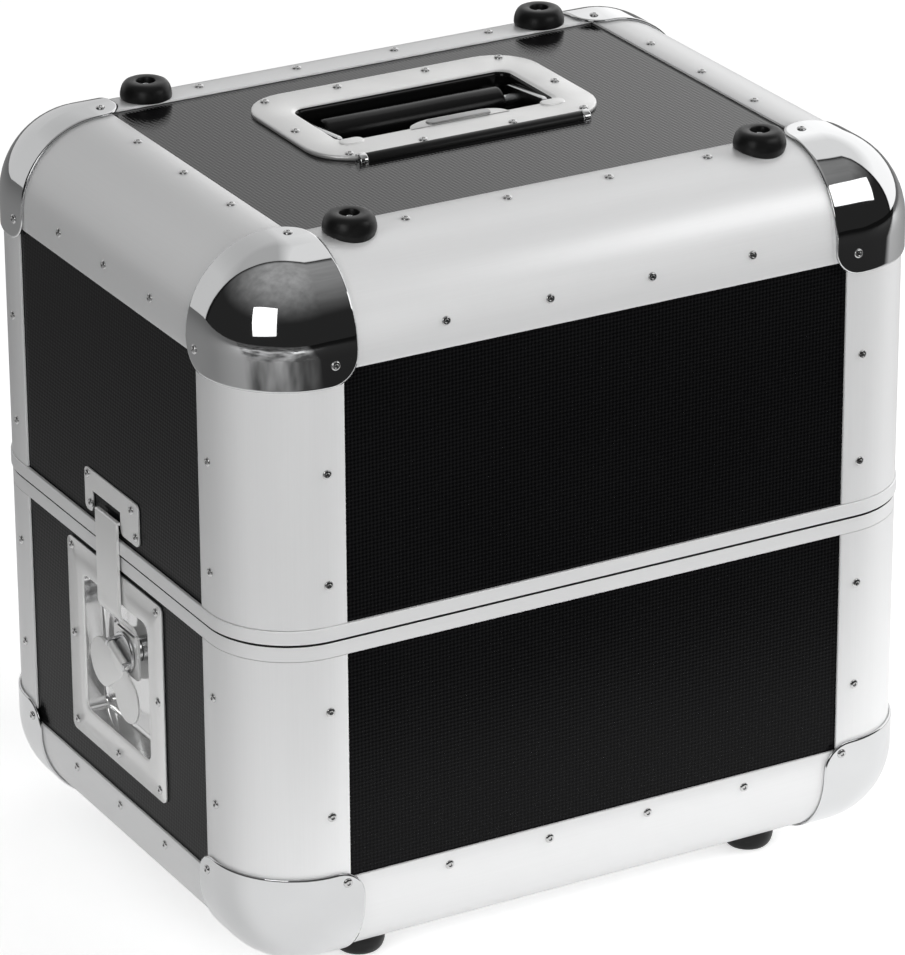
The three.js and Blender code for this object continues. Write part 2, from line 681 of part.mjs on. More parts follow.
function latchDishShape() {
  const up = LATCH_TOP - SPINDLE_Z;
  const plate = roundedRectangle(
    LATCH_WIDTH / 2, LATCH_HEIGHT / 2, LATCH_CORNER, 0, up - LATCH_HEIGHT / 2,
  );
  plate.holes.push(recessOutline(0, THREE.Path));
  const walls = recessOutline(LATCH_PLATE);
  walls.holes.push(recessOutline(0, THREE.Path));
  const face = PLATE_BACK - LATCH_PLATE;
  const spindleHole = cylinder(
    SPINDLE_RADIUS + RUNNING_GAP, CASE_WIDTH, "x", [0, 0, 0], SMALL_CIRCLE_STEPS,
  );
  const dish = join(
    extrudeAlongX(plate, face, PLATE_BACK),
    extrudeAlongX(walls, face, FLOOR_FACE + LATCH_PLATE),
    extrudeAlongX(recessOutline(LATCH_PLATE), FLOOR_FACE, FLOOR_FACE + LATCH_PLATE),
  );
  return cut(dish, spindleHole);
}

// The strap has a short lip at its top. It comes down over the valance, folds into the recess
// and ends in a slotted bracket.
function hookShape() {
  const strapTop = SPLIT + STRAP_RISE - SPINDLE_Z;
  const sink = BRACKET_SINK - STRAP_BACK;
  const shape = new THREE.Shape();
  const diagonal = STRAP_THICKNESS * Math.SQRT2;
  shape.moveTo(STRAP_FACE, strapTop - STRAP_THICKNESS);
  shape.lineTo(STRAP_FACE, FOLD_UP - diagonal / 2);
  shape.lineTo(BRACKET_SINK, FOLD_UP - sink - diagonal);
  shape.lineTo(BRACKET_SINK, -SPINDLE_RADIUS - BRACKET_DROP);
  shape.lineTo(BRACKET_SINK + STRAP_THICKNESS, -SPINDLE_RADIUS - BRACKET_DROP);
  shape.lineTo(BRACKET_SINK + STRAP_THICKNESS, FOLD_UP - sink - diagonal / 2);
  shape.lineTo(STRAP_BACK, FOLD_UP);
  shape.lineTo(STRAP_BACK, strapTop - STRAP_THICKNESS);
  shape.lineTo(-STRAP_CLEAR, strapTop - STRAP_THICKNESS);
  shape.lineTo(-STRAP_CLEAR, strapTop);
  shape.lineTo(STRAP_FACE + STRAP_CLEAR, strapTop);
  shape.closePath();
  const geometry = extrude(shape, -STRAP_WIDTH / 2, STRAP_WIDTH / 2);
  geometry.rotateX(Math.PI / 2);
  const gap = SPINDLE_RADIUS + RUNNING_GAP;
  const long = CASE_WIDTH;
  const slot = join(
    cylinder(gap, long, "x", [0, 0, 0], SMALL_CIRCLE_STEPS),
    cylinder(gap, long, "x", [0, 0, -HOOK_TRAVEL], SMALL_CIRCLE_STEPS),
    block([-long / 2, -gap, -HOOK_TRAVEL], [long / 2, gap, 0]),
  );
  return cut(solid(geometry), slot);
}

// Turns what is drawn hanging straight down to the slant at which the wing lies in its recess
function atWingTilt(shape) {
  return shape.rotate([WING_TILT, 0, 0]);
}

// The butterfly: two round lobes that hang from a barrel, with pins that turn in the lugs
function wingShape() {
  const back = ROTOR_FACE - RUNNING_GAP;
  const face = back - WING_PLATE;
  const neck = [0, -WING_NECK_DROP, WING_NECK_RADIUS];
  const lobes = [-WING_LOBE_OUT, WING_LOBE_OUT].map((y) => {
    const outline = outlineRound(neck, [y, -WING_LOBE_DROP, WING_LOBE_RADIUS]);
    return extrudeAlongX(outline, face, back, ARC_STEPS * 2);
  });
  const steps = SMALL_CIRCLE_STEPS;
  return atWingTilt(join(
    cylinder(WING_BARREL_RADIUS, WING_BARREL_LENGTH, "y", [WING_PIN_X, 0, 0], steps),
    cylinder(WING_PIN_RADIUS, LUG_OUTER * 2, "y", [WING_PIN_X, 0, 0], steps),
    block([face, -WING_NECK_RADIUS, -WING_NECK_DROP], [back, WING_NECK_RADIUS, 0]),
    ...lobes,
  ));
}

// The spindle turns in the floor of the dish. The hook's bracket runs on it between a shoulder
// and a rotor, and the rotor's two lugs hold the pins of the wing.
function spindleShape() {
  const shoulderFace = BRACKET_SINK + STRAP_THICKNESS + RUNNING_GAP;
  const floorBack = FLOOR_FACE + LATCH_PLATE;
  const innerEnd = floorBack + RUNNING_GAP + COLLAR_THICKNESS;
  const points = [
    [0, ROTOR_FACE],
    [ROTOR_RADIUS, ROTOR_FACE],
    [ROTOR_RADIUS, ROTOR_FACE + ROTOR_THICKNESS],
    [SPINDLE_RADIUS, ROTOR_FACE + ROTOR_THICKNESS],
    [SPINDLE_RADIUS, shoulderFace],
    [SHOULDER_RADIUS, shoulderFace],
    [SHOULDER_RADIUS, FLOOR_FACE - RUNNING_GAP],
    [SPINDLE_RADIUS, FLOOR_FACE - RUNNING_GAP],
    [SPINDLE_RADIUS, floorBack + RUNNING_GAP],
    [SHOULDER_RADIUS, floorBack + RUNNING_GAP],
    [SHOULDER_RADIUS, innerEnd],
    [0, innerEnd],
  ];
  const profile = points.map(([radius, along]) => new THREE.Vector2(radius, along));
  const geometry = new THREE.LatheGeometry(profile, CIRCLE_STEPS);
  geometry.rotateZ(-Math.PI / 2);
  const reach = WING_BARREL_RADIUS;
  const lugs = [-LUG_OUTER, LUG_INNER].map((y) => {
    const high = [ROTOR_FACE + ROTOR_THICKNESS / 2, y + LUG_WIDTH, reach];
    return block([WING_PIN_X - reach, y, -reach], high);
  });
  const holeRadius = WING_PIN_RADIUS + RUNNING_GAP;
  const hole = cylinder(holeRadius, LATCH_WIDTH, "y", [WING_PIN_X, 0, 0], SMALL_CIRCLE_STEPS);
  return atWingTilt(cut(join(solid(geometry), ...lugs), hole));
}

function latch(side) {
  const group = new THREE.Group();
  group.add(
    piece(`latch_dish_${side}`, geometryOf(latchDishShape()), "chrome"),
    piece(`latch_hook_${side}`, geometryOf(hookShape()), "steel"),
    piece(`latch_wing_${side}`, geometryOf(wingShape()), "chrome"),
    piece(`latch_spindle_${side}`, geometryOf(spindleShape()), "steel"),
  );
  const right = side === "right";
  group.rotation.z = right ? Math.PI : 0;
  group.position.set(right ? HALF_WIDTH : -HALF_WIDTH, 0, SPINDLE_Z);
  return group;
}

// The striker on the lid: an upside-down U with a catch bar across its foot
function striker(side) {
  const bottom = SPLIT + LID_VALANCE + STRIKER_RISE;
  const top = bottom + STRIKER_HEIGHT;
  const face = PLATE_BACK - LATCH_PLATE;
  const outline = roundedRectangle(
    STRIKER_WIDTH / 2, STRIKER_HEIGHT / 2, STRIKER_CORNER, 0, (bottom + top) / 2,
  );
  const notch = block(
    [-CASE_WIDTH, -STRIKER_NOTCH / 2, bottom + CATCH_HEIGHT],
    [CASE_WIDTH, STRIKER_NOTCH / 2, top - STRIKER_BRIDGE],
  );
  const plate = cut(extrudeAlongX(outline, face, PLATE_BACK), notch);
  const mesh = piece(`lid_striker_${side}`, geometryOf(plate), "chrome");
  const right = side === "right";
  mesh.rotation.z = right ? Math.PI : 0;
  mesh.position.x = right ? HALF_WIDTH : -HALF_WIDTH;
  return mesh;
}

function lid() {
  const group = new THREE.Group();
  const panelLow = SPLIT + VALANCE_FLOOR + SEAT;
  const handleHole = handleWindow();
  const liningLow = SPLIT + LID_VALANCE + SEAT;
  group.add(
    piece("lid_panel_top", geometryOf(flatPanel(BODY_TOP, -1, handleHole)), "laminate"),
    sidePanels("lid", panelLow, BODY_TOP - PANEL_EDGE),
    posts("lid", SPLIT + LID_VALANCE + SEAT, BODY_TOP - PROFILE_END),
    rails("lid"),
    ballCorners("lid"),
    piece("lid_valance", geometryOf(lidValance()), "aluminium"),
    feet("lid"),
    piece("lid_lining", geometryOf(liningShape(liningLow, BODY_TOP, [handleHole])), "foam"),
    striker("left"),
    striker("right"),
    piece("handle_dish", geometryOf(handleDishShape()), "chrome"),
    piece("handle_bail", geometryOf(bailShape()), "steel"),
    piece("handle_grip", geometryOf(gripShape()), "grip"),
  );
  return group;
}

function base() {
  const group = new THREE.Group();
  const panelHigh = BASE_RING_TOP - VALANCE_FLOOR - SEAT;
  const latchHole = latchWindow();
  const liningHigh = SPLIT - BASE_VALANCE - SEAT;
  const postLow = BODY_BOTTOM + Math.max(LEG, LOW_FRONT_LEG, LOW_SIDE_LEG) + SEAT;
  group.add(
    piece("base_panel_bottom", geometryOf(flatPanel(BODY_BOTTOM, 1)), "laminate"),
    sidePanels("base", BODY_BOTTOM + PANEL_EDGE, panelHigh, latchHole),
    posts("base", postLow, SPLIT - BASE_VALANCE - SEAT),
    rails("base"),
    ballCorners("base"),
    piece("base_valance", geometryOf(baseValance()), "aluminium"),
    feet("base"),
    piece("base_lining", geometryOf(liningShape(BODY_BOTTOM, liningHigh, [latchHole])), "foam"),
    piece("base_floor_pad", geometryOf(floorPadShape()), "foam"),
    latch("left"),
    latch("right"),
  );
  return group;
}

const recordCase = new THREE.Group();
recordCase.name = "record_case";
recordCase.add(base(), lid());

export default recordCase;
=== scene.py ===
# %% [markdown]
# # A carrying case for records
#
# The case is a box of black laminated plywood. Its edges are held in hollow rounded aluminium
# profiles, and eight chromed ball corners cap the ends of the profiles. It is split half way up
# into a tray and a lid, and a butterfly latch at each end pulls the two together. The solid
# model is loaded first as a fixed frame. It has every piece in its right place, but with few
# facets, so the round pieces are made again here with smooth curves, and every piece gets its
# finish.

# %% Load the solid model
import math

import bmesh
import bpy
from bmesh.types import BMEdge, BMFace, BMVert
from mathutils import Matrix, Vector


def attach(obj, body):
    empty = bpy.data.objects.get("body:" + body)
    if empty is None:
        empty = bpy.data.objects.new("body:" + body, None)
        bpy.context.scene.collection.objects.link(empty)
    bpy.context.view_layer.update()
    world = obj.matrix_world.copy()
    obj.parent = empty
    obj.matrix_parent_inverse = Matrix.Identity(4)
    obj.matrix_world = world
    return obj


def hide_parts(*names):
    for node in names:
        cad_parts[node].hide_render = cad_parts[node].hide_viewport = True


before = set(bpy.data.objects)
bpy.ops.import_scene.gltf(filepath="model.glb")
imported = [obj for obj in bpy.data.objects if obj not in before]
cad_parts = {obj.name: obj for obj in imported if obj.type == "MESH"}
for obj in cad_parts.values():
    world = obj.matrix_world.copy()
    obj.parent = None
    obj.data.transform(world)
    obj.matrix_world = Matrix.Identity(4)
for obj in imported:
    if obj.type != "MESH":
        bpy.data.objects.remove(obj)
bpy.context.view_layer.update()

# %% [markdown]
# ## Sizes
#
# The sizes repeat those of the solid model, in metres. The corner of every edge profile is an
# arc of one radius, and everything else counts from the outer faces of the case inwards, so a
# new piece lands on its seat without any fitting.

# %% Sizes of the case
MM = 0.001
HALF_WIDTH = 185 * MM
HALF_DEPTH = 144 * MM
BOTTOM = 8.7 * MM
TOP = 368.7 * MM
SPLIT = 186.2 * MM
EDGE_RADIUS = 42 * MM
LEG = 50 * MM
LOW_FRONT_LEG = 53 * MM
LOW_SIDE_LEG = 47 * MM
SKIN = 1.2 * MM
SEAT = 0.2 * MM
PANEL = 6.8 * MM
PANEL_FACE = SKIN + SEAT
INNER_LEG = PANEL_FACE + PANEL + SEAT
WALL = INNER_LEG + SKIN
PROFILE_END = LEG + SEAT
LID_VALANCE = 7.1 * MM
BASE_VALANCE = 8.7 * MM
VALANCE_PROUD = 0.8 * MM
NEAR = 0.01 * MM
TINY = 0.001 * MM
CORNERS = {"front_left": (-1, -1), "front_right": (1, -1), "back_right": (1, 1), "back_left": (-1, 1)}
print("the case is", 2 * HALF_WIDTH, "wide,", 2 * HALF_DEPTH, "deep and", TOP - BOTTOM, "high")

# %% [markdown]
# ## Camera
#
# The picture was taken from the front left and from above with a long lens, so the upright edges
# hardly lean towards each other. The place and turn of the camera come from matching corners,
# rivets and feet of the case to the picture. A very small shift puts the middle of the lens where
# the picture has it.

# %% Camera
lens = bpy.data.cameras.new("camera")
lens.sensor_fit = "VERTICAL"
lens.sensor_height = 36
lens.lens = 211.764
lens.shift_x = 0.0011725
lens.shift_y = -0.0055621
camera = bpy.data.objects.new("camera", lens)
camera.location = (-1.23326, -2.21381, 1.28211)
camera.rotation_euler = (1.16240683, 0.00510291, -0.51057036)
bpy.context.scene.collection.objects.link(camera)
bpy.context.scene.camera = camera
print("the camera stands", round(camera.location.length, 3), "m away")

# %% [markdown]
# ## Writing finishes as sums
#
# A finish is a graph of nodes. Adding each node and each link by hand hides the idea, so three
# small classes do it. The first wraps one output, so that a mask can be written as a sum or a
# product. The second adds any other node from its kind, its settings and what feeds it. The third
# is the graph of one material, and knows the inputs of its shader.

# %% Node helpers
class Value:
    def __init__(self, nodes, socket):
        self.nodes = nodes
        self.socket = socket

    def maths(self, operation, first, second=0.0):
        return self.nodes.add("ShaderNodeMath", {"operation": operation}, {0: first, 1: second})

    def __add__(self, other):
        return self.maths("ADD", self, other)

    __radd__ = __add__

    def __sub__(self, other):
        return self.maths("SUBTRACT", self, other)

    def __rsub__(self, other):
        return self.maths("SUBTRACT", other, self)

    def __mul__(self, other):
        return self.maths("MULTIPLY", self, other)

    __rmul__ = __mul__

    def __pow__(self, other):
        return self.maths("POWER", self, other)

    def sine(self):
        return self.maths("SINE", self)


class Nodes:
    def __init__(self, tree):
        self.tree = tree

    def feed(self, socket, value):
        if isinstance(value, Value):
            self.tree.links.new(value.socket, socket)
        else:
            socket.default_value = value

    def add(self, kind, settings=None, sockets=None, output=0):
        node = self.tree.nodes.new(kind)
        for name, value in (settings or {}).items():
            setattr(node, name, value)
        for name, value in (sockets or {}).items():
            self.feed(node.inputs[name], value)
        return Value(self, node.outputs[output])

    def coordinates(self, scale=(1, 1, 1)):
        place = self.add("ShaderNodeTexCoord", output="Object")
        return self.add("ShaderNodeMapping", None, {"Vector": place, "Scale": scale})

    def noise(self, scale, detail=2, stretch=(1, 1, 1)):
        sockets = {"Vector": self.coordinates(stretch), "Scale": scale, "Detail": detail}
        return self.add("ShaderNodeTexNoise", None, sockets, "Fac")

    def spread(self, value, low, high, start=0.0, end=1.0):
        names = ("From Min", "From Max", "To Min", "To Max")
        sockets = {"Value": value, **dict(zip(names, (low, high, start, end)))}
        return self.add("ShaderNodeMapRange", None, sockets)

    def between(self, factor, first, second):
        ends = [end if isinstance(end, Value) else (*end, 1) for end in (first, second)]
        sockets = {0: factor, 6: ends[0], 7: ends[1]}
        return self.add("ShaderNodeMix", {"data_type": "RGBA"}, sockets, 2)

    def vector_maths(self, operation, *vectors):
        sockets = dict(enumerate(vectors))
        return self.add("ShaderNodeVectorMath", {"operation": operation}, sockets, "Value")

    def split(self, place):
        first = self.add("ShaderNodeSeparateXYZ", None, {0: place})
        return [Value(self, socket) for socket in first.socket.node.outputs]

    def bump(self, height, strength, distance):
        sockets = {"Height": height, "Strength": strength, "Distance": distance}
        return self.add("ShaderNodeBump", None, sockets)


class Finish(Nodes):
    def __init__(self, name, **constants):
        self.material = bpy.data.materials.new(name)
        self.material.use_nodes = True
        super().__init__(self.material.node_tree)
        self.inputs = self.tree.nodes["Principled BSDF"].inputs
        for socket, value in constants.items():
            self.inputs[socket].default_value = value

    def colour(self, factor, first, second):
        self.feed(self.inputs["Base Color"], self.between(factor, first, second))

    def roughness(self, value, low, high, start, end):
        self.feed(self.inputs["Roughness"], self.spread(value, low, high, start, end))

    def relief(self, height, strength, distance):
        self.feed(self.inputs["Normal"], self.bump(height, strength, distance))


print("node helpers are ready")

# %% [markdown]
# ## Black laminate
#
# The panels are plywood under a hard black laminate with a fine linen grain. Two rows of waves
# that cross on every face would need one pattern for each direction of face. The sum of a wave
# along X, one along Y and one along Z does the same everywhere, because on a flat face one of the
# three always stands still. In the picture the sheet on top shines more than those on the sides,
# so it gets a higher index of refraction.

# %% Laminate
WEAVE_PITCH = 1.9 * MM


def laminate(name, ior, rough):
    finish = Finish(name, Metallic=0.0, IOR=ior)
    turns = 2 * math.pi / WEAVE_PITCH
    x, y, z = finish.split(finish.coordinates())
    weave = (x * turns).sine() + (y * turns).sine() + (z * turns).sine()
    threads = finish.noise(900, 2)
    cloud = finish.noise(14, 3)
    tone = finish.spread(weave + threads * 2 + cloud, 0.0, 3.0)
    finish.colour(tone, (0.002, 0.002, 0.0022), (0.008, 0.008, 0.0084))
    finish.roughness(threads + cloud, 0.5, 1.5, rough * 0.7, rough * 1.3)
    finish.relief(weave * 0.5 + threads, 0.5, 0.05 * MM)
    return finish.material


SIDE_LAMINATE = laminate("black_laminate", 1.17, 0.15)
TOP_LAMINATE = laminate("glossy_black_laminate", 1.42, 0.06)
print("made", SIDE_LAMINATE.name, "and", TOP_LAMINATE.name)

# %% [markdown]
# ## Satin aluminium
#
# The profiles are drawn through a die and then anodised. Drawing leaves long fine lines along
# the profile, and anodising makes them silky. The lines are noise that is stretched about eighty
# times along the profile, so each direction of profile gets a finish of its own. A silky surface
# scatters much of its light, so the finish is only partly a metal.

# %% Aluminium
LINES = {"x": (0.012, 1, 1), "y": (1, 0.012, 1), "z": (1, 1, 0.012), "ring": (0.012, 0.012, 1)}


def aluminium(along):
    finish = Finish("satin_aluminium_" + along, Metallic=0.3, IOR=1.45)
    fine = finish.noise(1600, 3, LINES[along])
    broad = finish.noise(140, 2, LINES[along])
    cloud = finish.noise(9, 2)
    lines = fine * 0.75 + broad * 0.25
    tone = finish.spread(lines + cloud * 0.5, 0.45, 1.05)
    finish.colour(tone, (0.765, 0.767, 0.77), (0.795, 0.797, 0.80))
    finish.roughness(lines, 0.3, 0.7, 0.32, 0.40)
    finish.relief(lines, 0.2, 0.02 * MM)
    return finish.material


ALUMINIUM = {along: aluminium(along) for along in LINES}
print("made", [material.name for material in ALUMINIUM.values()])

# %% [markdown]
# ## Bright and dull metals
#
# Ball corners are pressed and chromed. Pressing leaves the sheet a little uneven, which a mirror
# finish shows as bent reflections, so the chrome has a slow, shallow bump. The latches and the
# flange of the handle are nickel plated, and duller, but the recess of a latch is polished. Rivets
# and screws are bright steel.

# %% Plated metals
def plated(name, colour, rough, metal=1.0, wave=0, wave_height=0.0):
    finish = Finish(name, Metallic=metal)
    smear = finish.noise(40, 3)
    dark = tuple(channel * 0.95 for channel in colour)
    finish.colour(smear, dark, colour)
    finish.roughness(smear, 0.3, 0.7, rough * 0.8, rough * 1.25)
    if wave:
        finish.relief(finish.noise(wave, 1), 0.6, wave_height)
    return finish.material


CHROME = plated("chrome", (0.75, 0.755, 0.76), 0.04, wave=38, wave_height=0.25 * MM)
NICKEL = plated("nickel_plate", (0.88, 0.88, 0.875), 0.36, 0.5)
FLANGE = plated("satin_nickel", (0.84, 0.84, 0.835), 0.36, 0.75)
STEEL = plated("bright_steel", (0.68, 0.685, 0.69), 0.18)
RIVET = plated("rivet_steel", (0.66, 0.66, 0.66), 0.14)
# A darker grey steel, as painted shade that makes the raised stop bar on the handle look like a
# sunken slot.
PAINTED_SHADE_STEEL = plated("steel_painted_shade", (0.42, 0.42, 0.42), 0.36)
PRESSED = plated("bright_nickel", (0.92, 0.92, 0.92), 0.09, 0.85, wave=60, wave_height=0.15 * MM)
METALS = (CHROME, NICKEL, FLANGE, STEEL, RIVET, PAINTED_SHADE_STEEL, PRESSED)
print("made", [metal.name for metal in METALS])

# %% [markdown]
# ## Rubber, plastic and foam
#
# The feet are moulded rubber with a slight shine on their rims, the grip is hard black plastic,
# the handle's dish is black inside, and the lining is soft dark foam. The foam's open cells are
# small pits, drawn with the distance to the nearest cell centre, and darker in the middle as
# painted shade.

# %% Dark finishes
def moulded(name, tone, rough, grain, depth):
    finish = Finish(name, Metallic=0.0, IOR=1.36)
    speckle = finish.noise(grain, 3)
    finish.colour(speckle, (tone * 0.8,) * 3, (tone * 1.2,) * 3)
    finish.roughness(speckle, 0.3, 0.7, rough * 0.9, rough * 1.15)
    finish.relief(speckle, 0.4, depth)
    return finish.material


def foam():
    finish = Finish("dark_foam", Metallic=0.0)
    sockets = {"Vector": finish.coordinates(), "Scale": 900}
    cells = finish.add("ShaderNodeTexVoronoi", None, sockets, "Distance")
    cloud = finish.noise(25, 3)
    # Darker at the middle of each cell, where the pit sinks: painted shade.
    tone = cells * 0.7 + cloud * 0.3
    finish.colour(tone, (0.011, 0.011, 0.012), (0.034, 0.034, 0.037))
    finish.roughness(cloud, 0.3, 0.7, 0.88, 1.0)
    finish.relief(cells, 0.6, 0.3 * MM)
    return finish.material


RUBBER = moulded("black_rubber", 0.005, 0.34, 700, 0.03 * MM)
PLASTIC = moulded("black_plastic", 0.004, 0.23, 500, 0.02 * MM)
CUP = moulded("black_dish_inside", 0.003, 0.14, 300, 0.01 * MM)
FOAM = foam()
print("made", RUBBER.name, PLASTIC.name, CUP.name, FOAM.name)

# %% [markdown]
# ## From a mesh to a piece of the case
#
# Every new piece ends the same way: its normals are set, it gets its finish, it is smoothed
# except along real edges, and it is tied to the body that carries it. A fillet along its sharp
# edges catches the light as pressed and sawn metal does. A piece that takes the place of one of
# the solid model's gets that piece's name with "fine" before it.

# %% Finishing a piece
def finish_piece(name, bm, finishes, body, slot, replaced=(), fillet=0.0, wall=0.0, closed=True):
    if closed:
        bmesh.ops.recalc_face_normals(bm, faces=bm.faces)
    mesh = bpy.data.meshes.new(name)
    bm.to_mesh(mesh)
    bm.free()
    for material in finishes if isinstance(finishes, tuple) else (finishes,):
        mesh.materials.append(material)
    mesh.shade_smooth()
    mesh.set_sharp_from_angle(angle=math.radians(35))
    piece = bpy.data.objects.new(name, mesh)
    bpy.context.scene.collection.objects.link(piece)
    if wall:
        shell = piece.modifiers.new("wall", "SOLIDIFY")
        shell.thickness = wall
        shell.offset = -1
        shell.use_even_offset = True
    if fillet:
        edge = piece.modifiers.new("fillet", "BEVEL")
        edge.width = fillet
        edge.segments = 2
        edge.limit_method = "ANGLE"
        edge.angle_limit = math.radians(40)
        edge.harden_normals = True
    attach(piece, body)
    if replaced:
        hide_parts(*replaced)
    return piece


def remake(name, bm, finishes, body, slot, **more):
    return finish_piece("fine_" + name, bm, finishes, body, slot, (name,), **more)


def turn(degrees, axis="Z"):
    return Matrix.Rotation(math.radians(degrees), 4, axis)


def move(x, y, z):
    return Matrix.Translation((x, y, z))


def put(bm, matrix, verts=None):
    bmesh.ops.transform(bm, matrix=matrix, verts=bm.verts if verts is None else verts)


def only(kind, items):
    return [item for item in items if isinstance(item, kind)]


def fresh(items, before):
    return [item for item in items if item not in before]


def linked(verts, kind):
    """The edges or faces at some vertices, each once and always in the same order."""
    return list(dict.fromkeys(item for vert in verts for item in getattr(vert, kind)))


def join(bm, other):
    """Adds another bmesh to this one, and frees it."""
    mesh = bpy.data.meshes.new("part")
    other.to_mesh(mesh)
    other.free()
    bm.from_mesh(mesh)
    bpy.data.meshes.remove(mesh)


def cuboid(bm, low, high):
    matrix = Matrix.Translation((low + high) / 2) @ Matrix.Diagonal((*(high - low), 1))
    bmesh.ops.create_cube(bm, size=1, matrix=matrix)


def face_away(bm, centre):
    """Turns an open sheet so that it looks away from a point inside it."""
    bm.normal_update()
    if sum(face.normal.dot(face.calc_center_median() - centre) for face in bm.faces) < 0:
        bmesh.ops.reverse_faces(bm, faces=bm.faces[:])
        bm.normal_update()


def face_up(bm):
    """Turns an open sheet so that its largest face looks along +Z."""
    bmesh.ops.recalc_face_normals(bm, faces=bm.faces)
    if max(bm.faces, key=lambda face: face.calc_area()).normal.z < 0:
        bmesh.ops.reverse_faces(bm, faces=bm.faces[:])


def flat_outline(bm, points):
    corners = [bm.verts.new((x, y, 0)) for x, y in points]
    bm.faces.new(corners)
    return corners


def round_edges(bm, edges, radius, segments, affect="EDGES"):
    bmesh.ops.bevel(
        bm, geom=edges, offset=radius, offset_type="OFFSET", segments=segments,
        profile=0.5, affect=affect, material=-1,
    )


def round_corner(bm, corners, radius, segments):
    round_edges(bm, corners, radius, segments, "VERTICES")


def rounded_rectangle(bm, half_x, half_y, radius, centre=(0, 0), level=0.0, segments=8):
    before = set(bm.faces)
    size = Matrix.Diagonal((half_x, half_y, 1, 1))
    place = move(*centre, level) @ size
    made = bmesh.ops.create_grid(bm, x_segments=1, y_segments=1, size=1, matrix=place)
    round_corner(bm, made["verts"], radius, segments)
    return fresh(bm.faces, before)[0]


def pull(bm, faces, offset):
    made = bmesh.ops.extrude_face_region(bm, geom=faces)["geom"]
    put(bm, move(*offset), only(BMVert, made))
    return only(BMFace, made)


def open_between(bm, *faces):
    edges = [edge for face in faces for edge in face.edges]
    bmesh.ops.delete(bm, geom=list(faces), context="FACES_ONLY")
    made = bmesh.ops.triangle_fill(bm, use_beauty=True, edges=edges, normal=(0, 0, 1))
    return only(BMFace, made["geom"])


print("mesh helpers are ready")

# %% [markdown]
# ## Edge profiles
#
# A profile is an extrusion. Its section is a rounded L with two walls, a hollow between them,
# and a slot at each end that grips the edge of a panel. The section is drawn as an L with sharp
# corners, the corners are rounded, and the section is then pulled to its length. A matrix that
# swaps the axes lays the same section along X or along Y.

# %% Profiles
ALONG = {
    "z": Matrix.Identity(4),
    "x": Matrix(((0, 0, 1, 0), (1, 0, 0, 0), (0, 1, 0, 0), (0, 0, 0, 1))),
    "y": Matrix(((0, 1, 0, 0), (0, 0, 1, 0), (1, 0, 0, 0), (0, 0, 0, 1))),
}
ARC = 20
LIP_ROUND = 0.4 * MM


def profile(name, along, corner, quarter, legs, low, high):
    first, second = legs
    web = EDGE_RADIUS + SKIN
    bm = bmesh.new()
    points = [
        (0, 0), (first, 0), (first, SKIN), (web, SKIN), (web, INNER_LEG), (LEG, INNER_LEG),
        (LEG, WALL), (WALL, WALL), (WALL, LEG), (INNER_LEG, LEG), (INNER_LEG, web), (SKIN, web),
        (SKIN, second), (0, second),
    ]
    corners = flat_outline(bm, points)
    round_corner(bm, [corners[1], corners[-1]], LIP_ROUND, 2)
    round_corner(bm, [corners[0]], EDGE_RADIUS, ARC)
    round_corner(bm, [corners[7]], EDGE_RADIUS - WALL, ARC)
    outside = bm.faces[:][0]
    end = EDGE_RADIUS + SEAT
    before = set(bm.faces)
    hollow = flat_outline(bm, [
        (SKIN, SKIN), (end, SKIN), (end, INNER_LEG), (INNER_LEG, INNER_LEG), (INNER_LEG, end),
        (SKIN, end),
    ])
    round_corner(bm, [hollow[0]], EDGE_RADIUS - SKIN, ARC)
    round_corner(bm, [hollow[3]], EDGE_RADIUS - INNER_LEG, ARC)
    section = open_between(bm, outside, fresh(bm.faces, before)[0])
    pull(bm, section, (0, 0, high - low))
    put(bm, ALONG[along] @ move(*corner, low) @ turn(quarter * 90))
    body = name.split("_")[0]
    return remake(name, bm, ALUMINIUM[along], body, "edge_profile")


POST_SPANS = {
    "lid": (SPLIT + LID_VALANCE + SEAT, TOP - PROFILE_END),
    "base": (BOTTOM + LOW_FRONT_LEG + SEAT, SPLIT - BASE_VALANCE - SEAT),
}
made_profiles = []
for half, (low, high) in POST_SPANS.items():
    for quarter, (place, (side_x, side_y)) in enumerate(CORNERS.items()):
        corner = (side_x * HALF_WIDTH, side_y * HALF_DEPTH)
        name = f"{half}_post_{place}"
        made_profiles.append(profile(name, "z", corner, quarter, (LEG, LEG), low, high))

reach_x = HALF_WIDTH - PROFILE_END
reach_y = HALF_DEPTH - PROFILE_END
RAILS = [
    ("lid_rail_front", "x", (-HALF_DEPTH, TOP), 3, (LEG, LEG), reach_x),
    ("lid_rail_back", "x", (HALF_DEPTH, TOP), 2, (LEG, LEG), reach_x),
    ("lid_rail_left", "y", (TOP, -HALF_WIDTH), 1, (LEG, LEG), reach_y),
    ("lid_rail_right", "y", (TOP, HALF_WIDTH), 2, (LEG, LEG), reach_y),
    ("base_rail_front", "x", (-HALF_DEPTH, BOTTOM), 0, (LEG, LOW_FRONT_LEG), reach_x),
    ("base_rail_back", "x", (HALF_DEPTH, BOTTOM), 1, (LOW_FRONT_LEG, LEG), reach_x),
    ("base_rail_left", "y", (BOTTOM, -HALF_WIDTH), 0, (LOW_SIDE_LEG, LEG), reach_y),
    ("base_rail_right", "y", (BOTTOM, HALF_WIDTH), 3, (LEG, LOW_SIDE_LEG), reach_y),
]
for name, along, corner, quarter, legs, reach in RAILS:
    made_profiles.append(profile(name, along, corner, quarter, legs, -reach, reach))
print("made", len(made_profiles), "profiles")
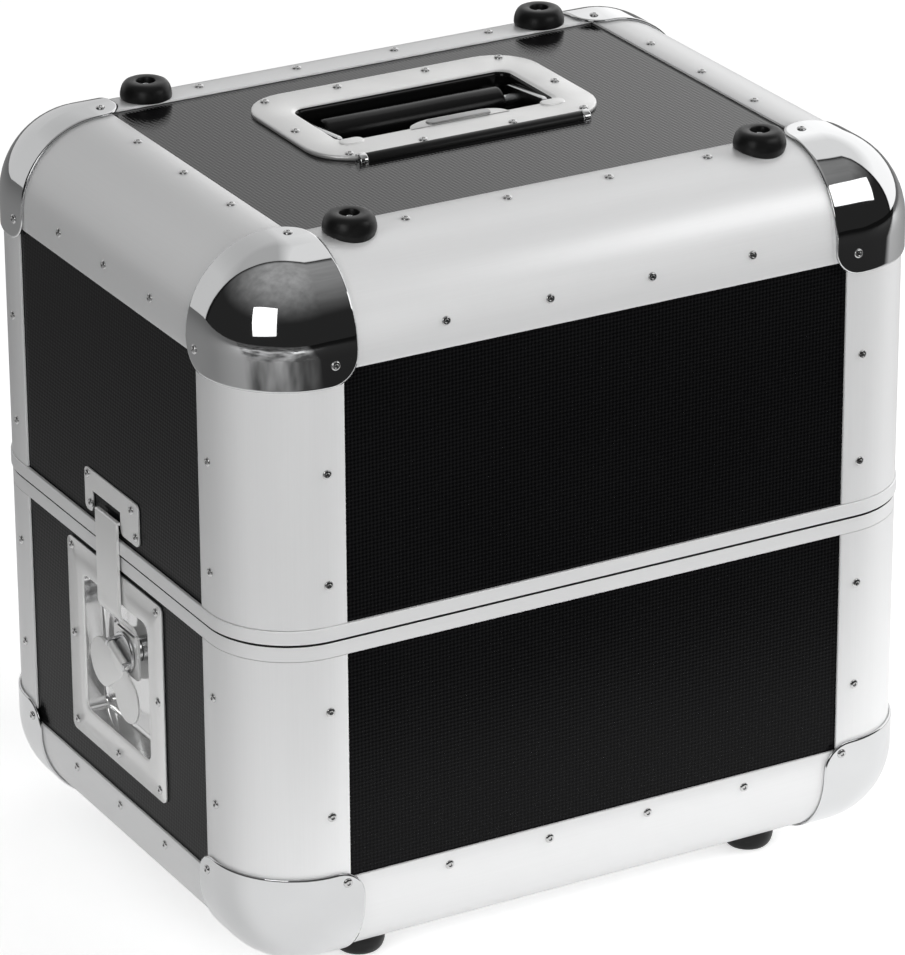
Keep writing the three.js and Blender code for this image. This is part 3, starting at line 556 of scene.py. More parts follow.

# %% [markdown]
# ## Valance rings
#
# Where the tray and the lid meet, each has an aluminium ring that follows the plan of the case.
# A ring is drawn as a rounded rectangle and divided into bands by insets, because an inset keeps
# a round corner concentric. The bands are then pulled up to different heights, which gives the
# outer wall, the channel that takes the panels, the inner wall and the tongue of the tray. The
# outer wall of the tray's ring stops a little lower, and the groove above it is lined with black
# rubber as painted shade for the dark split line.

# %% Rings
RING_FLOOR = 1.5 * MM
GROOVE = 1.1 * MM
SLIGHT = 0.02 * MM
TONGUE_GAP = 0.3 * MM
TONGUE_WALL = 1.3 * MM
TONGUE_RISE = 6.2 * MM


def ring(name, outer_inset, bands, level, finishes, dark=(0, 0)):
    """A band is a width, a rise and a fall. Faces between the dark levels get the second finish."""
    bm = bmesh.new()
    half_x = HALF_WIDTH - outer_inset
    half_y = HALF_DEPTH - outer_inset
    radius = EDGE_RADIUS - outer_inset
    middle = rounded_rectangle(bm, half_x, half_y, radius, level=level, segments=ARC)
    for index, (width, _, _) in enumerate(bands):
        made = bmesh.ops.inset_region(
            bm, faces=[middle], thickness=width, use_boundary=True, use_even_offset=True,
        )
        for face in made["faces"]:
            face.material_index = index
    bmesh.ops.delete(bm, geom=[middle], context="FACES")
    pull(bm, bm.faces[:], (0, 0, RING_FLOOR))
    bmesh.ops.recalc_face_normals(bm, faces=bm.faces)
    bm.normal_update()
    for index, (_, above, below) in enumerate(bands):
        for sign, height in ((1, above), (-1, below)):
            faces = [f for f in bm.faces if f.material_index == index and f.normal.z * sign > 0.9]
            if height:
                pull(bm, faces, (0, 0, sign * height))
                bm.normal_update()
    for face in bm.faces:
        face.material_index = int(dark[0] < face.calc_center_median().z < dark[1])
    body = name.split("_")[0]
    return remake(name, bm, finishes, body, "edge_profile", fillet=0.5 * MM)


lid_rise = LID_VALANCE - RING_FLOOR
ring("lid_valance", -VALANCE_PROUD, [
    (VALANCE_PROUD + SKIN, lid_rise, 0),
    (INNER_LEG - SKIN, 0, 0),
    (SKIN, lid_rise, 0),
], SPLIT, ALUMINIUM["ring"])
ring_top = SPLIT - SEAT
base_fall = BASE_VALANCE - SEAT - RING_FLOOR
# Faces in the groove between these levels get black rubber: painted shade for the split line.
groove_levels = (ring_top - GROOVE - SLIGHT, ring_top - SLIGHT)
ring("base_valance", 0.0, [
    (SKIN, 0, base_fall - GROOVE),
    (INNER_LEG - SKIN, GROOVE, 0),
    (SKIN, GROOVE, base_fall - GROOVE),
    (TONGUE_GAP, GROOVE, 0),
    (TONGUE_WALL, TONGUE_RISE + GROOVE, 0),
], ring_top - RING_FLOOR - GROOVE, (ALUMINIUM["ring"], RUBBER), groove_levels)
print("made two rings")

# %% [markdown]
# ## Ball corners
#
# A ball corner is one pressed sheet. A cube whose three edges at one corner are rounded with one
# radius has the same form, a piece of ball between three quarter pipes and three flats. The far
# faces of the cube are taken away, the flats get their round lobes, and the border is drawn in
# towards the case, as the press leaves it. A second inset keeps that bend out of the flats.

# %% Ball corners
BALL_FACE = EDGE_RADIUS + 1.5 * MM
BALL_LOBE = 15 * MM
LOBE_ROUND = 14 * MM
RIM_WIDTH = 1.0 * MM
RIM_DROP = 0.35 * MM
BALL_WALL = 1.0 * MM


def is_far(face):
    """Whether a face lies wholly in one of the cube's three planes away from the ball."""
    return any(all(abs(vert.co[axis] - BALL_LOBE) < TINY for vert in face.verts) for axis in range(3))


def ball_corner(half, place, quarter, x, y):
    bm = bmesh.new()
    size = BALL_FACE + BALL_LOBE
    middle = (BALL_LOBE - BALL_FACE) / 2
    bmesh.ops.create_cube(bm, size=size, matrix=move(middle, middle, middle))
    tip = min(bm.verts, key=lambda vert: sum(vert.co))
    round_edges(bm, list(tip.link_edges), BALL_FACE - NEAR, 18)
    bmesh.ops.delete(bm, geom=[face for face in bm.faces if is_far(face)], context="FACES")
    tips = [vert for vert in bm.verts if sum(abs(value - BALL_LOBE) < TINY for value in vert.co) == 2
            and min(vert.co) < -BALL_FACE + TINY]
    round_corner(bm, tips, LOBE_ROUND, 8)
    bmesh.ops.recalc_face_normals(bm, faces=bm.faces)
    whole = bm.faces[:]
    for width in (RIM_WIDTH, RIM_WIDTH / 2):
        bmesh.ops.inset_region(
            bm, faces=whole, thickness=width, use_boundary=True, use_even_offset=True,
        )
    bm.normal_update()
    border = {vert for edge in bm.edges if edge.is_boundary for vert in edge.verts}
    face_away(bm, Vector((BALL_LOBE, BALL_LOBE, BALL_LOBE)))
    for vert in border:
        vert.co -= vert.normal * RIM_DROP
    if half == "lid":
        level = TOP - EDGE_RADIUS
        spin = turn((quarter + 1) * 90) @ turn(180, "X")
    else:
        level = BOTTOM + EDGE_RADIUS
        spin = turn(quarter * 90)
    put(bm, move(x, y, level) @ spin)
    name = f"{half}_ball_corner_{place}"
    return remake(name, bm, CHROME, half, "ball_corner", wall=BALL_WALL, closed=False)


for half in ("lid", "base"):
    for quarter, (place, (side_x, side_y)) in enumerate(CORNERS.items()):
        x = side_x * (HALF_WIDTH - EDGE_RADIUS)
        y = side_y * (HALF_DEPTH - EDGE_RADIUS)
        corner = ball_corner(half, place, quarter, x, y)
print("made eight ball corners, each with", len(corner.data.polygons), "faces")

# %% [markdown]
# ## Feet
#
# A foot is a turned shape, so its outline is spun round its axis. It stands half on the flat of
# the profile and half on its rounding. Its lowest ring of vertices is let down onto the arc, so
# that no gap shows under it from the front. A screw sits in its hole.

# %% Feet
FOOT_X = HALF_WIDTH - 75 * MM
FOOT_Y = HALF_DEPTH - 40 * MM
FOOT_FLAT = EDGE_RADIUS - 40 * MM
FOOT_LOW = 0.3 * MM
SCREW_UP = 4.4 * MM


def spun(bm, outline, steps):
    """Spins an outline of radius and height, given in millimetres, round the Z axis."""
    verts = [bm.verts.new((radius * MM, 0, height * MM)) for radius, height in outline]
    edges = [bm.edges.new(pair) for pair in zip(verts, verts[1:])]
    bmesh.ops.spin(
        bm, geom=verts + edges, cent=(0, 0, 0), axis=(0, 0, 1), dvec=(0, 0, 0),
        angle=2 * math.pi, steps=steps, use_merge=True, use_duplicate=False,
    )
    bmesh.ops.remove_doubles(bm, verts=bm.verts, dist=TINY)
    bmesh.ops.recalc_face_normals(bm, faces=bm.faces)


FOOT_OUTLINE = [
    (0, 0), (12.1, 0), (12.6, 0.35), (12.75, 1.3), (12.6, 3.0), (12.2, 4.6), (11.7, 6.0),
    (11.1, 7.0), (10.3, 7.85), (9.2, 8.35), (8.2, 8.5), (5.6, 8.5), (4.9, 8.3), (4.6, 7.8),
    (4.6, 4.3), (0, 4.3),
]
SCREW_OUTLINE = [
    (0, 0), (3.7, 0), (3.9, 0.3), (3.8, 1.0), (3.2, 1.6), (2.2, 2.0), (1.3, 2.15), (0.9, 1.9),
    (0, 0.9),
]


def foot(half, place, x, y):
    bm = bmesh.new()
    spun(bm, FOOT_OUTLINE, 40)
    for vert in bm.verts:
        past = FOOT_FLAT - vert.co.y
        if vert.co.z < FOOT_LOW and past > 0:
            vert.co.z += math.sqrt(EDGE_RADIUS ** 2 - past ** 2) - EDGE_RADIUS
    half_turn = 0 if y < 0 else 180
    if half == "lid":
        matrix = move(x, y, TOP) @ turn(half_turn)
    else:
        matrix = move(x, y, BOTTOM) @ turn(half_turn + 180) @ turn(180, "X")
    put(bm, matrix)
    name = f"{half}_foot_{place}"
    remake(name, bm, RUBBER, half, "foot")
    bm = bmesh.new()
    spun(bm, SCREW_OUTLINE, 24)
    put(bm, matrix @ move(0, 0, SCREW_UP))
    finish_piece(f"screw_in_{name}", bm, STEEL, half, "steel")


for half in ("lid", "base"):
    for place, (side_x, side_y) in CORNERS.items():
        foot(half, place, side_x * FOOT_X, side_y * FOOT_Y)
print("made eight feet and their screws")

# %% [markdown]
# ## Rivets
#
# About a hundred and fifty rivets hold the profiles, the ball corners and the fittings. A rivet
# head is a small dome with a dimple in its middle. The nearest point of the case's core box gives
# both the place and the direction of a rivet, on a flat and on a rounding alike.

# %% Rivets
RIVET_OUTLINE = [
    (2.3, -0.3), (2.35, 0.1), (2.2, 0.45), (1.85, 0.75), (1.45, 0.9), (1.1, 0.92), (0.85, 0.75),
    (0.7, 0.3), (0, 0.2),
]
CORE_LOW = Vector((-HALF_WIDTH, -HALF_DEPTH, BOTTOM)) + Vector((EDGE_RADIUS,) * 3)
CORE_HIGH = Vector((HALF_WIDTH, HALF_DEPTH, TOP)) - Vector((EDGE_RADIUS,) * 3)
BALL_LIFT = 1.5 * MM


def on_case(point, lift=0.0):
    point = Vector(point) * MM
    core = Vector(min(max(p, low), high) for p, low, high in zip(point, CORE_LOW, CORE_HIGH))
    outward = (point - core).normalized()
    return core + outward * (EDGE_RADIUS + lift), outward


def add_rivet(bm, place, outward):
    before = set(bm.verts)
    head = bmesh.new()
    spun(head, RIVET_OUTLINE, 16)
    join(bm, head)
    matrix = Matrix.Translation(place) @ outward.to_track_quat("Z", "Y").to_matrix().to_4x4()
    put(bm, matrix, fresh(bm.verts, before))


def rivet_group(name, places, body):
    bm = bmesh.new()
    for place, outward in places:
        add_rivet(bm, place, outward)
    finish_piece(name, bm, RIVET, body, "steel")


def framed_rivets(name, matrix, spots, body):
    """Rivets along the Z axis of a frame, at places in that frame given in millimetres."""
    outward = matrix.to_3x3() @ Vector((0, 0, 1))
    places = [(matrix @ Vector([value * MM for value in spot]), outward) for spot in spots]
    rivet_group(name, places, body)


def on_both_sides(spots):
    return [(side * x, y, 0) for x, y in spots for side in (-1, 1)]


# Places of rivets in millimetres: FRONT is the front or back, END an end, LEVEL the top or bottom
FRONT_RAIL_ROW = (-82, -27.3, 27.3, 82)
FRONT_RAIL_LEVELS = (332.2, 54.9)
FRONT_POST_ROW = (269.6, 214.3, 149.9, 95.6)
FRONT_POST_X = 144.5
FRONT_BALL_SPOTS = ((140, 322.5), (137.4, 60))
END_RAIL_ROW = (-48.4, 0, 48.4)
END_RAIL_LEVELS = (330.9, 49.1)
END_POST_ROW = (269.6, 214.3, 150.3, 95)
END_POST_Y = 104
END_BALL_SPOTS = ((96, 322.5), (96, 57.5))
LEVEL_LONG_ROW = (-81, -27.3, 27.3, 81)
LEVEL_LONG_Y = 104.3
LEVEL_SHORT_ROW = (-48.3, 0, 48.3)
LEVEL_SHORT_X = 142
LEVEL_BALL_X = 138
LEVEL_BALL_Y = 97
CASE_RIVETS = {"lid": [], "base": []}


def case_rivet(x, y, z, lift=0.0):
    half = "lid" if z * MM > SPLIT else "base"
    CASE_RIVETS[half].append(on_case((x, y, z), lift))


face_y = HALF_DEPTH / MM
face_x = HALF_WIDTH / MM
for side in (-1, 1):
    y = side * face_y
    for z in FRONT_RAIL_LEVELS:
        for x in FRONT_RAIL_ROW:
            case_rivet(x, y, z)
    for end in (-1, 1):
        for x, z in FRONT_BALL_SPOTS:
            case_rivet(end * x, y, z, BALL_LIFT)
        for z in FRONT_POST_ROW:
            case_rivet(end * FRONT_POST_X, y, z)
    x = side * face_x
    for z in END_RAIL_LEVELS:
        for y in END_RAIL_ROW:
            case_rivet(x, y, z)
    for end in (-1, 1):
        for y, z in END_BALL_SPOTS:
            case_rivet(x, end * y, z, BALL_LIFT)
        for z in END_POST_ROW:
            case_rivet(x, end * END_POST_Y, z)
for z in (BOTTOM / MM, TOP / MM):
    for side in (-1, 1):
        for x in LEVEL_LONG_ROW:
            case_rivet(x, side * LEVEL_LONG_Y, z)
        for y in LEVEL_SHORT_ROW:
            case_rivet(side * LEVEL_SHORT_X, y, z)
        for end in (-1, 1):
            case_rivet(side * LEVEL_BALL_X, end * LEVEL_BALL_Y, z, BALL_LIFT)
for half, places in CASE_RIVETS.items():
    rivet_group(f"{half}_rivets", places, half)
print("placed", {half: len(places) for half, places in CASE_RIVETS.items()}, "rivets")

# %% [markdown]
# ## Pressed dishes
#
# The handle and the latches lie in dishes pressed from sheet metal, with a flange round the
# mouth. The flange is bridged between its outer and its inner outline, the inner outline is
# pulled down to the floor, and the bends are rounded. The sheet then gets its thickness.

# %% Dish
def dish(bm, flange, mouth, depth, bend, floor_bend, lip=0.0):
    """Flange and mouth are half sizes, corner radius and centre. The face lies at zero, facing +Z."""
    outer = rounded_rectangle(bm, *flange)
    inner = rounded_rectangle(bm, *mouth)
    outer_edges = list(outer.edges)
    inner_edges = list(inner.edges)
    bmesh.ops.delete(bm, geom=[outer, inner], context="FACES_ONLY")
    bmesh.ops.bridge_loops(bm, edges=outer_edges + inner_edges)
    made = bmesh.ops.extrude_edge_only(bm, edges=inner_edges)["geom"]
    floor_verts = only(BMVert, made)
    floor_edges = [edge for edge in only(BMEdge, made)
                   if all(vert in floor_verts for vert in edge.verts)]
    put(bm, move(0, 0, -depth), floor_verts)
    bmesh.ops.contextual_create(bm, geom=floor_edges)
    if lip:
        made = bmesh.ops.extrude_edge_only(bm, edges=outer_edges)["geom"]
        put(bm, move(0, 0, -lip), only(BMVert, made))
        round_edges(bm, outer_edges, min(lip, 1.2 * MM) * 0.8, 3)
    round_edges(bm, inner_edges, bend, 4)
    loop = [edge for edge in bm.edges if all(abs(vert.co.z + depth) < TINY for vert in edge.verts)
            and not all(abs(face.normal.z) > 0.9 for face in edge.link_faces)]
    round_edges(bm, loop, floor_bend, 4)
    face_up(bm)


def raised_bar(bm, length, breadth, height, centre, level):
    before = set(bm.verts)
    face = rounded_rectangle(bm, length / 2, breadth / 2, breadth / 2 * 0.98, segments=6)
    top = pull(bm, [face], (0, 0, height))
    round_edges(bm, list(top[0].edges), height * 0.9, 4)
    put(bm, move(*centre, level), fresh(bm.verts, before))


print("dish helper is ready")

# %% [markdown]
# ## Handle
#
# The handle is a black grip on a steel rod between two flat arms. It folds down into its dish,
# which is black inside. The dish's flange is proud of the lid, and a black half round bead with a
# clip at each end lies along its front edge; its black is painted shade for the dark front edge of
# the flange. A tab with a raised bar stands out over the mouth to stop the grip, and the bar's
# darker grey is painted shade for a sunken slot. Two small raised places stop the arms.

# %% Handle dish
HANDLE_TOP = TOP + 1 * MM
HANDLE_Y = 24.5 * MM
MOUTH_X = 58.5 * MM
MOUTH_Y = 25 * MM
MOUTH_FRONT = HANDLE_Y - MOUTH_Y
PLATE = 1.2 * MM
FLANGE_HALF_X = 78 * MM
FLANGE_HALF_Y = 49 * MM
FLANGE_CORNER = 24 * MM
FLANGE_FRONT = HANDLE_Y - FLANGE_HALF_Y
HANDLE_DEPTH = 20.5 * MM
HANDLE_SEAT = TOP - PANEL_FACE + SEAT
BLACK_BELOW = -0.9 * MM
LIP_PAST = 5 * MM


def face_is_lip(face):
    middle = face.calc_center_median()
    return abs(middle.x) > MOUTH_X + LIP_PAST or abs(middle.y - HANDLE_Y) > MOUTH_Y + LIP_PAST


bm = bmesh.new()
flange = (FLANGE_HALF_X, FLANGE_HALF_Y, FLANGE_CORNER, (0, HANDLE_Y))
mouth = (MOUTH_X, MOUTH_Y, 6 * MM, (0, HANDLE_Y))
dish(bm, flange, mouth, HANDLE_DEPTH, 3 * MM, 4 * MM, lip=HANDLE_TOP - HANDLE_SEAT)
for face in bm.faces:
    middle = face.calc_center_median()
    face.material_index = int(middle.z < BLACK_BELOW and not face_is_lip(face))
put(bm, move(0, 0, HANDLE_TOP))
remake("handle_dish", bm, (FLANGE, CUP), "lid", "latch_plate", wall=PLATE, closed=False)

BEAD_RADIUS = 3.3 * MM
BEAD_HALF = 58.5 * MM
CLIP_LONG = 4.5 * MM


def rod(bm, radius, low, high, centre, segments=32, soft=0.0):
    """A round bar along X between two places."""
    before = set(bm.verts)
    middle = Vector(((low + high) / 2, centre.y, centre.z))
    bmesh.ops.create_cone(
        bm, cap_ends=True, segments=segments, radius1=radius, radius2=radius, depth=high - low,
        matrix=Matrix.Translation(middle) @ turn(90, "Y"),
    )
    if soft:
        ends = [edge for edge in linked(fresh(bm.verts, before), "link_edges")
                if abs(edge.verts[0].co.x - edge.verts[1].co.x) < NEAR]
        round_edges(bm, ends, soft, 3)


def slice_at(bm, point, normal, clear=False):
    everything = bm.verts[:] + bm.edges[:] + bm.faces[:]
    return bmesh.ops.bisect_plane(
        bm, geom=everything, plane_co=point, plane_no=normal, clear_outer=clear,
    )


def half_round(bm, radius, low, high, soft):
    """A bar along X with its flat side down on the lid, in front of the flange."""
    bar = bmesh.new()
    rod(bar, radius, low, high, Vector((0, 0, 0)), soft=soft)
    cut = slice_at(bar, (0, 0, 0), (0, 0, -1), clear=True)
    bmesh.ops.contextual_create(bar, geom=only(BMEdge, cut["geom_cut"]))
    put(bar, move(0, FLANGE_FRONT, HANDLE_SEAT))
    join(bm, bar)


# The bead is black rubber as painted shade for the dark front edge of the flange, between two chrome
# clips.
bm = bmesh.new()
half_round(bm, BEAD_RADIUS, -BEAD_HALF, BEAD_HALF, 0.3 * MM)
finish_piece("handle_front_bead_painted_shade", bm, RUBBER, "lid", "latch_plate")
bm = bmesh.new()
for low in (-BEAD_HALF - CLIP_LONG, BEAD_HALF):
    half_round(bm, BEAD_RADIUS + 0.5 * MM, low, low + CLIP_LONG, 0.8 * MM)
finish_piece("handle_bead_clips", bm, CHROME, "lid", "latch_plate")

TAB_THICK = 1.1 * MM
TAB_SUNK = 0.95 * MM
TAB_OUTLINE = [(-23, -4), (31, -4), (31, 0), (23, 5.2), (-13, 5.2), (-23, 0)]
STOP_RISE = 0.9 * MM
STOP_BAR_SIZE = (35 * MM, 6 * MM)
STOP_SIZE = (13 * MM, 7.5 * MM)
bm = bmesh.new()
corners = flat_outline(bm, [(x * MM, MOUTH_FRONT + y * MM) for x, y in TAB_OUTLINE])
round_corner(bm, corners[2:], 4 * MM, 4)
top = pull(bm, bm.faces[:], (0, 0, TAB_THICK))
round_edges(bm, list(top[0].edges), 0.3 * MM, 2)
put(bm, move(0, 0, HANDLE_TOP - TAB_SUNK))
finish_piece("handle_stop_tab", bm, FLANGE, "lid", "latch_plate")

# The stop bar's darker grey steel is painted shade for a sunken slot.
bm = bmesh.new()
spot = (5 * MM, MOUTH_FRONT + 0.2 * MM)
raised_bar(bm, *STOP_BAR_SIZE, STOP_RISE, spot, HANDLE_TOP + 0.1 * MM)
finish_piece("handle_stop_bar", bm, PAINTED_SHADE_STEEL, "lid", "latch_plate")
bm = bmesh.new()
for side in (-1, 1):
    spot = (side * 55 * MM, MOUTH_FRONT - 3.4 * MM)
    raised_bar(bm, *STOP_SIZE, STOP_RISE, spot, HANDLE_TOP - 0.3 * MM)
finish_piece("handle_stops", bm, NICKEL, "lid", "latch_plate")

HANDLE_RIVETS = on_both_sides([(65, 66), (71.5, 22), (24.5, 67.5), (64, -18.5), (24.5, -19)])
framed_rivets("handle_rivets", move(0, 0, HANDLE_TOP), HANDLE_RIVETS, "lid")
print("made the handle dish")

# %% [markdown]
# The bail is one welded piece. An arm is the outline round two circles, which comes from a hull
# of small rings of vertices. The grip is spun, and smooth, with rounded ends.

# %% Bail and grip
PIVOT = Vector((0, MOUTH_FRONT + 8 * MM, HANDLE_TOP - 5.5 * MM))
GRIP = Vector((0, MOUTH_FRONT + 38 * MM, HANDLE_TOP - 11.5 * MM))
ARM_OUTER = MOUTH_X - 0.8 * MM
ARM_THICK = 3 * MM
ROD = 3 * MM
PIN = 2.5 * MM
PIVOT_ROUND = 4.5 * MM
GRIP_ROUND = 7.4 * MM
GRIP_OUTLINE = [
    (3.4, -49), (6.6, -49), (7.3, -48.7), (7.8, -48.0), (8.0, -47.0), (8.0, -20), (7.9, 0),
    (8.0, 20), (8.0, 47.0), (7.8, 48.0), (7.3, 48.7), (6.6, 49), (3.4, 49), (3.4, -49),
]


def hull_plate(bm, circles, low, high, soft, basis=Matrix.Identity(4)):
    """A plate round circles of centre X, centre Y and radius, between two levels of a basis."""
    before = set(bm.verts)
    for x, y, radius in circles:
        for level in (low, high):
            bmesh.ops.create_circle(bm, segments=56, radius=radius, matrix=basis @ move(x, y, level))
    made = bmesh.ops.convex_hull(bm, input=fresh(bm.verts, before))
    spare = dict.fromkeys(only(BMVert, made["geom_interior"] + made["geom_unused"]))
    bmesh.ops.delete(bm, geom=list(spare), context="VERTS")
    new = fresh(bm.verts, before)
    edges = linked(new, "link_edges")
    bmesh.ops.dissolve_limit(bm, angle_limit=math.radians(1), verts=new, edges=edges)
    faces = linked(fresh(bm.verts, before), "link_faces")
    caps = [face for face in faces if len(face.verts) > 8]
    round_edges(bm, list(dict.fromkeys(edge for face in caps for edge in face.edges)), soft, 3)


bm = bmesh.new()
for side in (-1, 1):
    inner = side * (ARM_OUTER - ARM_THICK)
    circles = [(PIVOT.y, PIVOT.z, PIVOT_ROUND), (GRIP.y, GRIP.z, GRIP_ROUND)]
    hull_plate(bm, circles, *sorted((inner, side * ARM_OUTER)), 0.5 * MM, ALONG["x"])
    rod(bm, PIN, *sorted((inner, side * (MOUTH_X + PLATE))), PIVOT)
rod(bm, ROD, -ARM_OUTER, ARM_OUTER, GRIP)
remake("handle_bail", bm, STEEL, "handle", "steel")

bm = bmesh.new()
spun(bm, GRIP_OUTLINE, 40)
put(bm, Matrix.Translation(GRIP) @ turn(90, "Y"))
remake("handle_grip", bm, PLASTIC, "handle", "grip")
print("made the bail and its grip")

# %% [markdown]
# ## Latches
#
# A latch is drawn once, for the left end, in a frame of its own: X runs to the right as seen from
# outside, Y runs up from the axis of the spindle, and Z runs outwards from the face of the case.
# A half turn about the upright axis of the case makes the right one.

# %% Latch frame
SPINDLE_Z = 130 * MM
SIDES = {"left": Matrix.Identity(4), "right": turn(180)}
# Columns are the directions in the case of the latch's own X, Y and Z
LATCH_FRAME = Matrix((
    (0, 0, -1, -HALF_WIDTH),
    (-1, 0, 0, 0),
    (0, 1, 0, SPINDLE_Z),
    (0, 0, 0, 1),
))


def latch_place(side):
    return SIDES[side] @ LATCH_FRAME


def place_latch(bm, side):
    put(bm, latch_place(side))


DISH_UP = -7.25 * MM
RECESS_UP = -7 * MM
RECESS_DEPTH = 12 * MM
BRIGHT_BELOW = -0.9 * MM
PLATE_RIVETS = on_both_sides([(45.5, 40.5), (45.5, -6.3), (45, -53)]) + [(0, -53, 0)]
for side in SIDES:
    bm = bmesh.new()
    plate = (50.5 * MM, 51.75 * MM, 3.5 * MM, (0, DISH_UP))
    recess = (35 * MM, 36 * MM, 5 * MM, (0, RECESS_UP))
    dish(bm, plate, recess, RECESS_DEPTH, 1.0 * MM, 2.5 * MM)
    for face in bm.faces:
        face.material_index = int(face.calc_center_median().z < BRIGHT_BELOW)
    place_latch(bm, side)
    name = f"latch_dish_{side}"
    remake(name, bm, (NICKEL, PRESSED), "base", "latch_plate", wall=PLATE, closed=False)
    framed_rivets(f"latch_rivets_{side}", latch_place(side), PLATE_RIVETS, "base")
print("made two latch dishes")

# %% [markdown]
# The striker is a plate riveted to the lid, with a notch that is open below. The tip of the hook
# stands in the notch. The plate is drawn as an outline and pulled to its thickness.

# %% Strikers
STRIKER_UP = 77.7 * MM
STRIKER_HALF = 28.75 * MM
STRIKER_HALF_HEIGHT = 11 * MM
STRIKER_RIVETS = [(-25, 85.8, 0), (-22.2, 71.5, 0), (22, 84.1, 0), (26.2, 71.7, 0)]
NOTCH_LEFT = -20.5 * MM
NOTCH_RIGHT = 9.5 * MM
NOTCH_HIGH = 78.2 * MM
for side in SIDES:
    bm = bmesh.new()
    low, high = STRIKER_UP - STRIKER_HALF_HEIGHT, STRIKER_UP + STRIKER_HALF_HEIGHT
    corners = flat_outline(bm, [
        (-STRIKER_HALF, low), (NOTCH_LEFT, low), (NOTCH_LEFT, NOTCH_HIGH), (NOTCH_RIGHT, NOTCH_HIGH),
        (NOTCH_RIGHT, low), (STRIKER_HALF, low), (STRIKER_HALF, high), (-STRIKER_HALF, high),
    ])
    round_corner(bm, corners[:2] + corners[4:], 3 * MM, 6)
    section = bm.faces[:]
    put(bm, move(0, 0, -PLATE))
    pull(bm, section, (0, 0, PLATE))
    place_latch(bm, side)
    remake(f"lid_striker_{side}", bm, NICKEL, "lid", "latch_plate", fillet=0.3 * MM)
    framed_rivets(f"striker_rivets_{side}", latch_place(side), STRIKER_RIVETS, "lid")
print("made two strikers")

# %% [markdown]
# The hook is a strip of sheet steel with three bends. Its front line is drawn from the side as
# edges, swept to its width, rounded at the bends, and then given its thickness. The bracket at
# its foot has a slot, in which the spindle lets the hook slide up.

# %% Hooks
STRAP_HALF = 12.75 * MM
STRAP_RIGHT = 10 * MM
STRAP = 1.5 * MM
STRAP_LINE = [(0.3, 73.2), (2.6, 73.2), (2.6, 22.64), (-5.5, 14.98), (-5.5, 12.5)]
LIP_LEVEL = 73 * MM
LIP_BEND = 0.9 * MM
BRACKET_FACE = -5.5 * MM
BRACKET_LOW = -11 * MM
BRACKET_HIGH = 12.4 * MM
SLOT_RADIUS = 4.3 * MM
HOOK_TRAVEL = 5 * MM
HOOK_RIVET = (-8.6, 13.5, -5.5)
for side in SIDES:
    bm = bmesh.new()
    verts = [bm.verts.new((-STRAP_HALF, y * MM, z * MM)) for z, y in STRAP_LINE]
    edges = [bm.edges.new(pair) for pair in zip(verts, verts[1:])]
    made = bmesh.ops.extrude_edge_only(bm, edges=edges)["geom"]
    put(bm, move(STRAP_HALF + STRAP_RIGHT, 0, 0), only(BMVert, made))
    bends = [edge for edge in bm.edges if not edge.is_boundary and edge.verts[0].co.y < LIP_LEVEL]
    round_edges(bm, bends, 3.2 * MM, 6)
    lip = [edge for edge in bm.edges if not edge.is_boundary and edge.verts[0].co.y > LIP_LEVEL]
    round_edges(bm, lip, LIP_BEND, 4)
    face_up(bm)
    place_latch(bm, side)
    name, body = f"latch_hook_{side}", f"{side}_hook"
    remake(name, bm, NICKEL, body, "steel", wall=STRAP, fillet=0.3 * MM, closed=False)
    bm = bmesh.new()
    half_high = (BRACKET_HIGH - BRACKET_LOW) / 2
    middle = (0, (BRACKET_HIGH + BRACKET_LOW) / 2)
    back = BRACKET_FACE - STRAP
    outer = rounded_rectangle(
        bm, STRAP_HALF, half_high, 2 * MM, centre=middle, level=back, segments=4,
    )
    slot_half = HOOK_TRAVEL / 2 + SLOT_RADIUS
    inner = rounded_rectangle(
        bm, SLOT_RADIUS, slot_half, SLOT_RADIUS * 0.98, centre=(0, -HOOK_TRAVEL / 2), level=back,
    )
    pull(bm, open_between(bm, outer, inner), (0, 0, STRAP))
    place_latch(bm, side)
    finish_piece(f"hook_bracket_{side}", bm, NICKEL, body, "steel", fillet=0.3 * MM)
    framed_rivets(f"hook_rivet_{side}", latch_place(side), [HOOK_RIVET], body)
print("made two hooks")

# %% [markdown]
# The spindle carries a round rotor with two lugs, and the butterfly wing hangs from a pin
# between them. The wing lies folded down in the recess, tilted as in the picture. It is folded
# out and turned to open the latch. Its two lobes lie at slightly different heights, so the edge
# of one shows on the other.

# %% Spindles and wings
BARREL = Vector((0, 0, -1.2 * MM))
WING_TILT = turn(-21)
WING_FACE = -1.5 * MM
WING_BACK = -3.3 * MM
LOBE_STEP = 0.4 * MM
LOBE_NECK = (0, -8.5 * MM, 6.5 * MM)
LOBE_BRIDGE = (0, -16 * MM, 9 * MM)
SPINDLE_OUTLINE = [
    (0, -14.9), (5.6, -14.9), (6.0, -14.5), (6.0, -13.9), (5.6, -13.5), (4, -13.5), (4, -11.7),
    (6, -11.7), (6, -7.3), (4, -7.3), (4, -5.2), (10.1, -5.2), (10.5, -4.8), (10.5, -3.9),
    (10.1, -3.5), (0, -3.5),
]


def latch_block(bm, low, high):
    before = set(bm.verts)
    cuboid(bm, Vector(low) * MM, Vector(high) * MM)
    round_edges(bm, linked(fresh(bm.verts, before), "link_edges"), 0.5 * MM, 3)


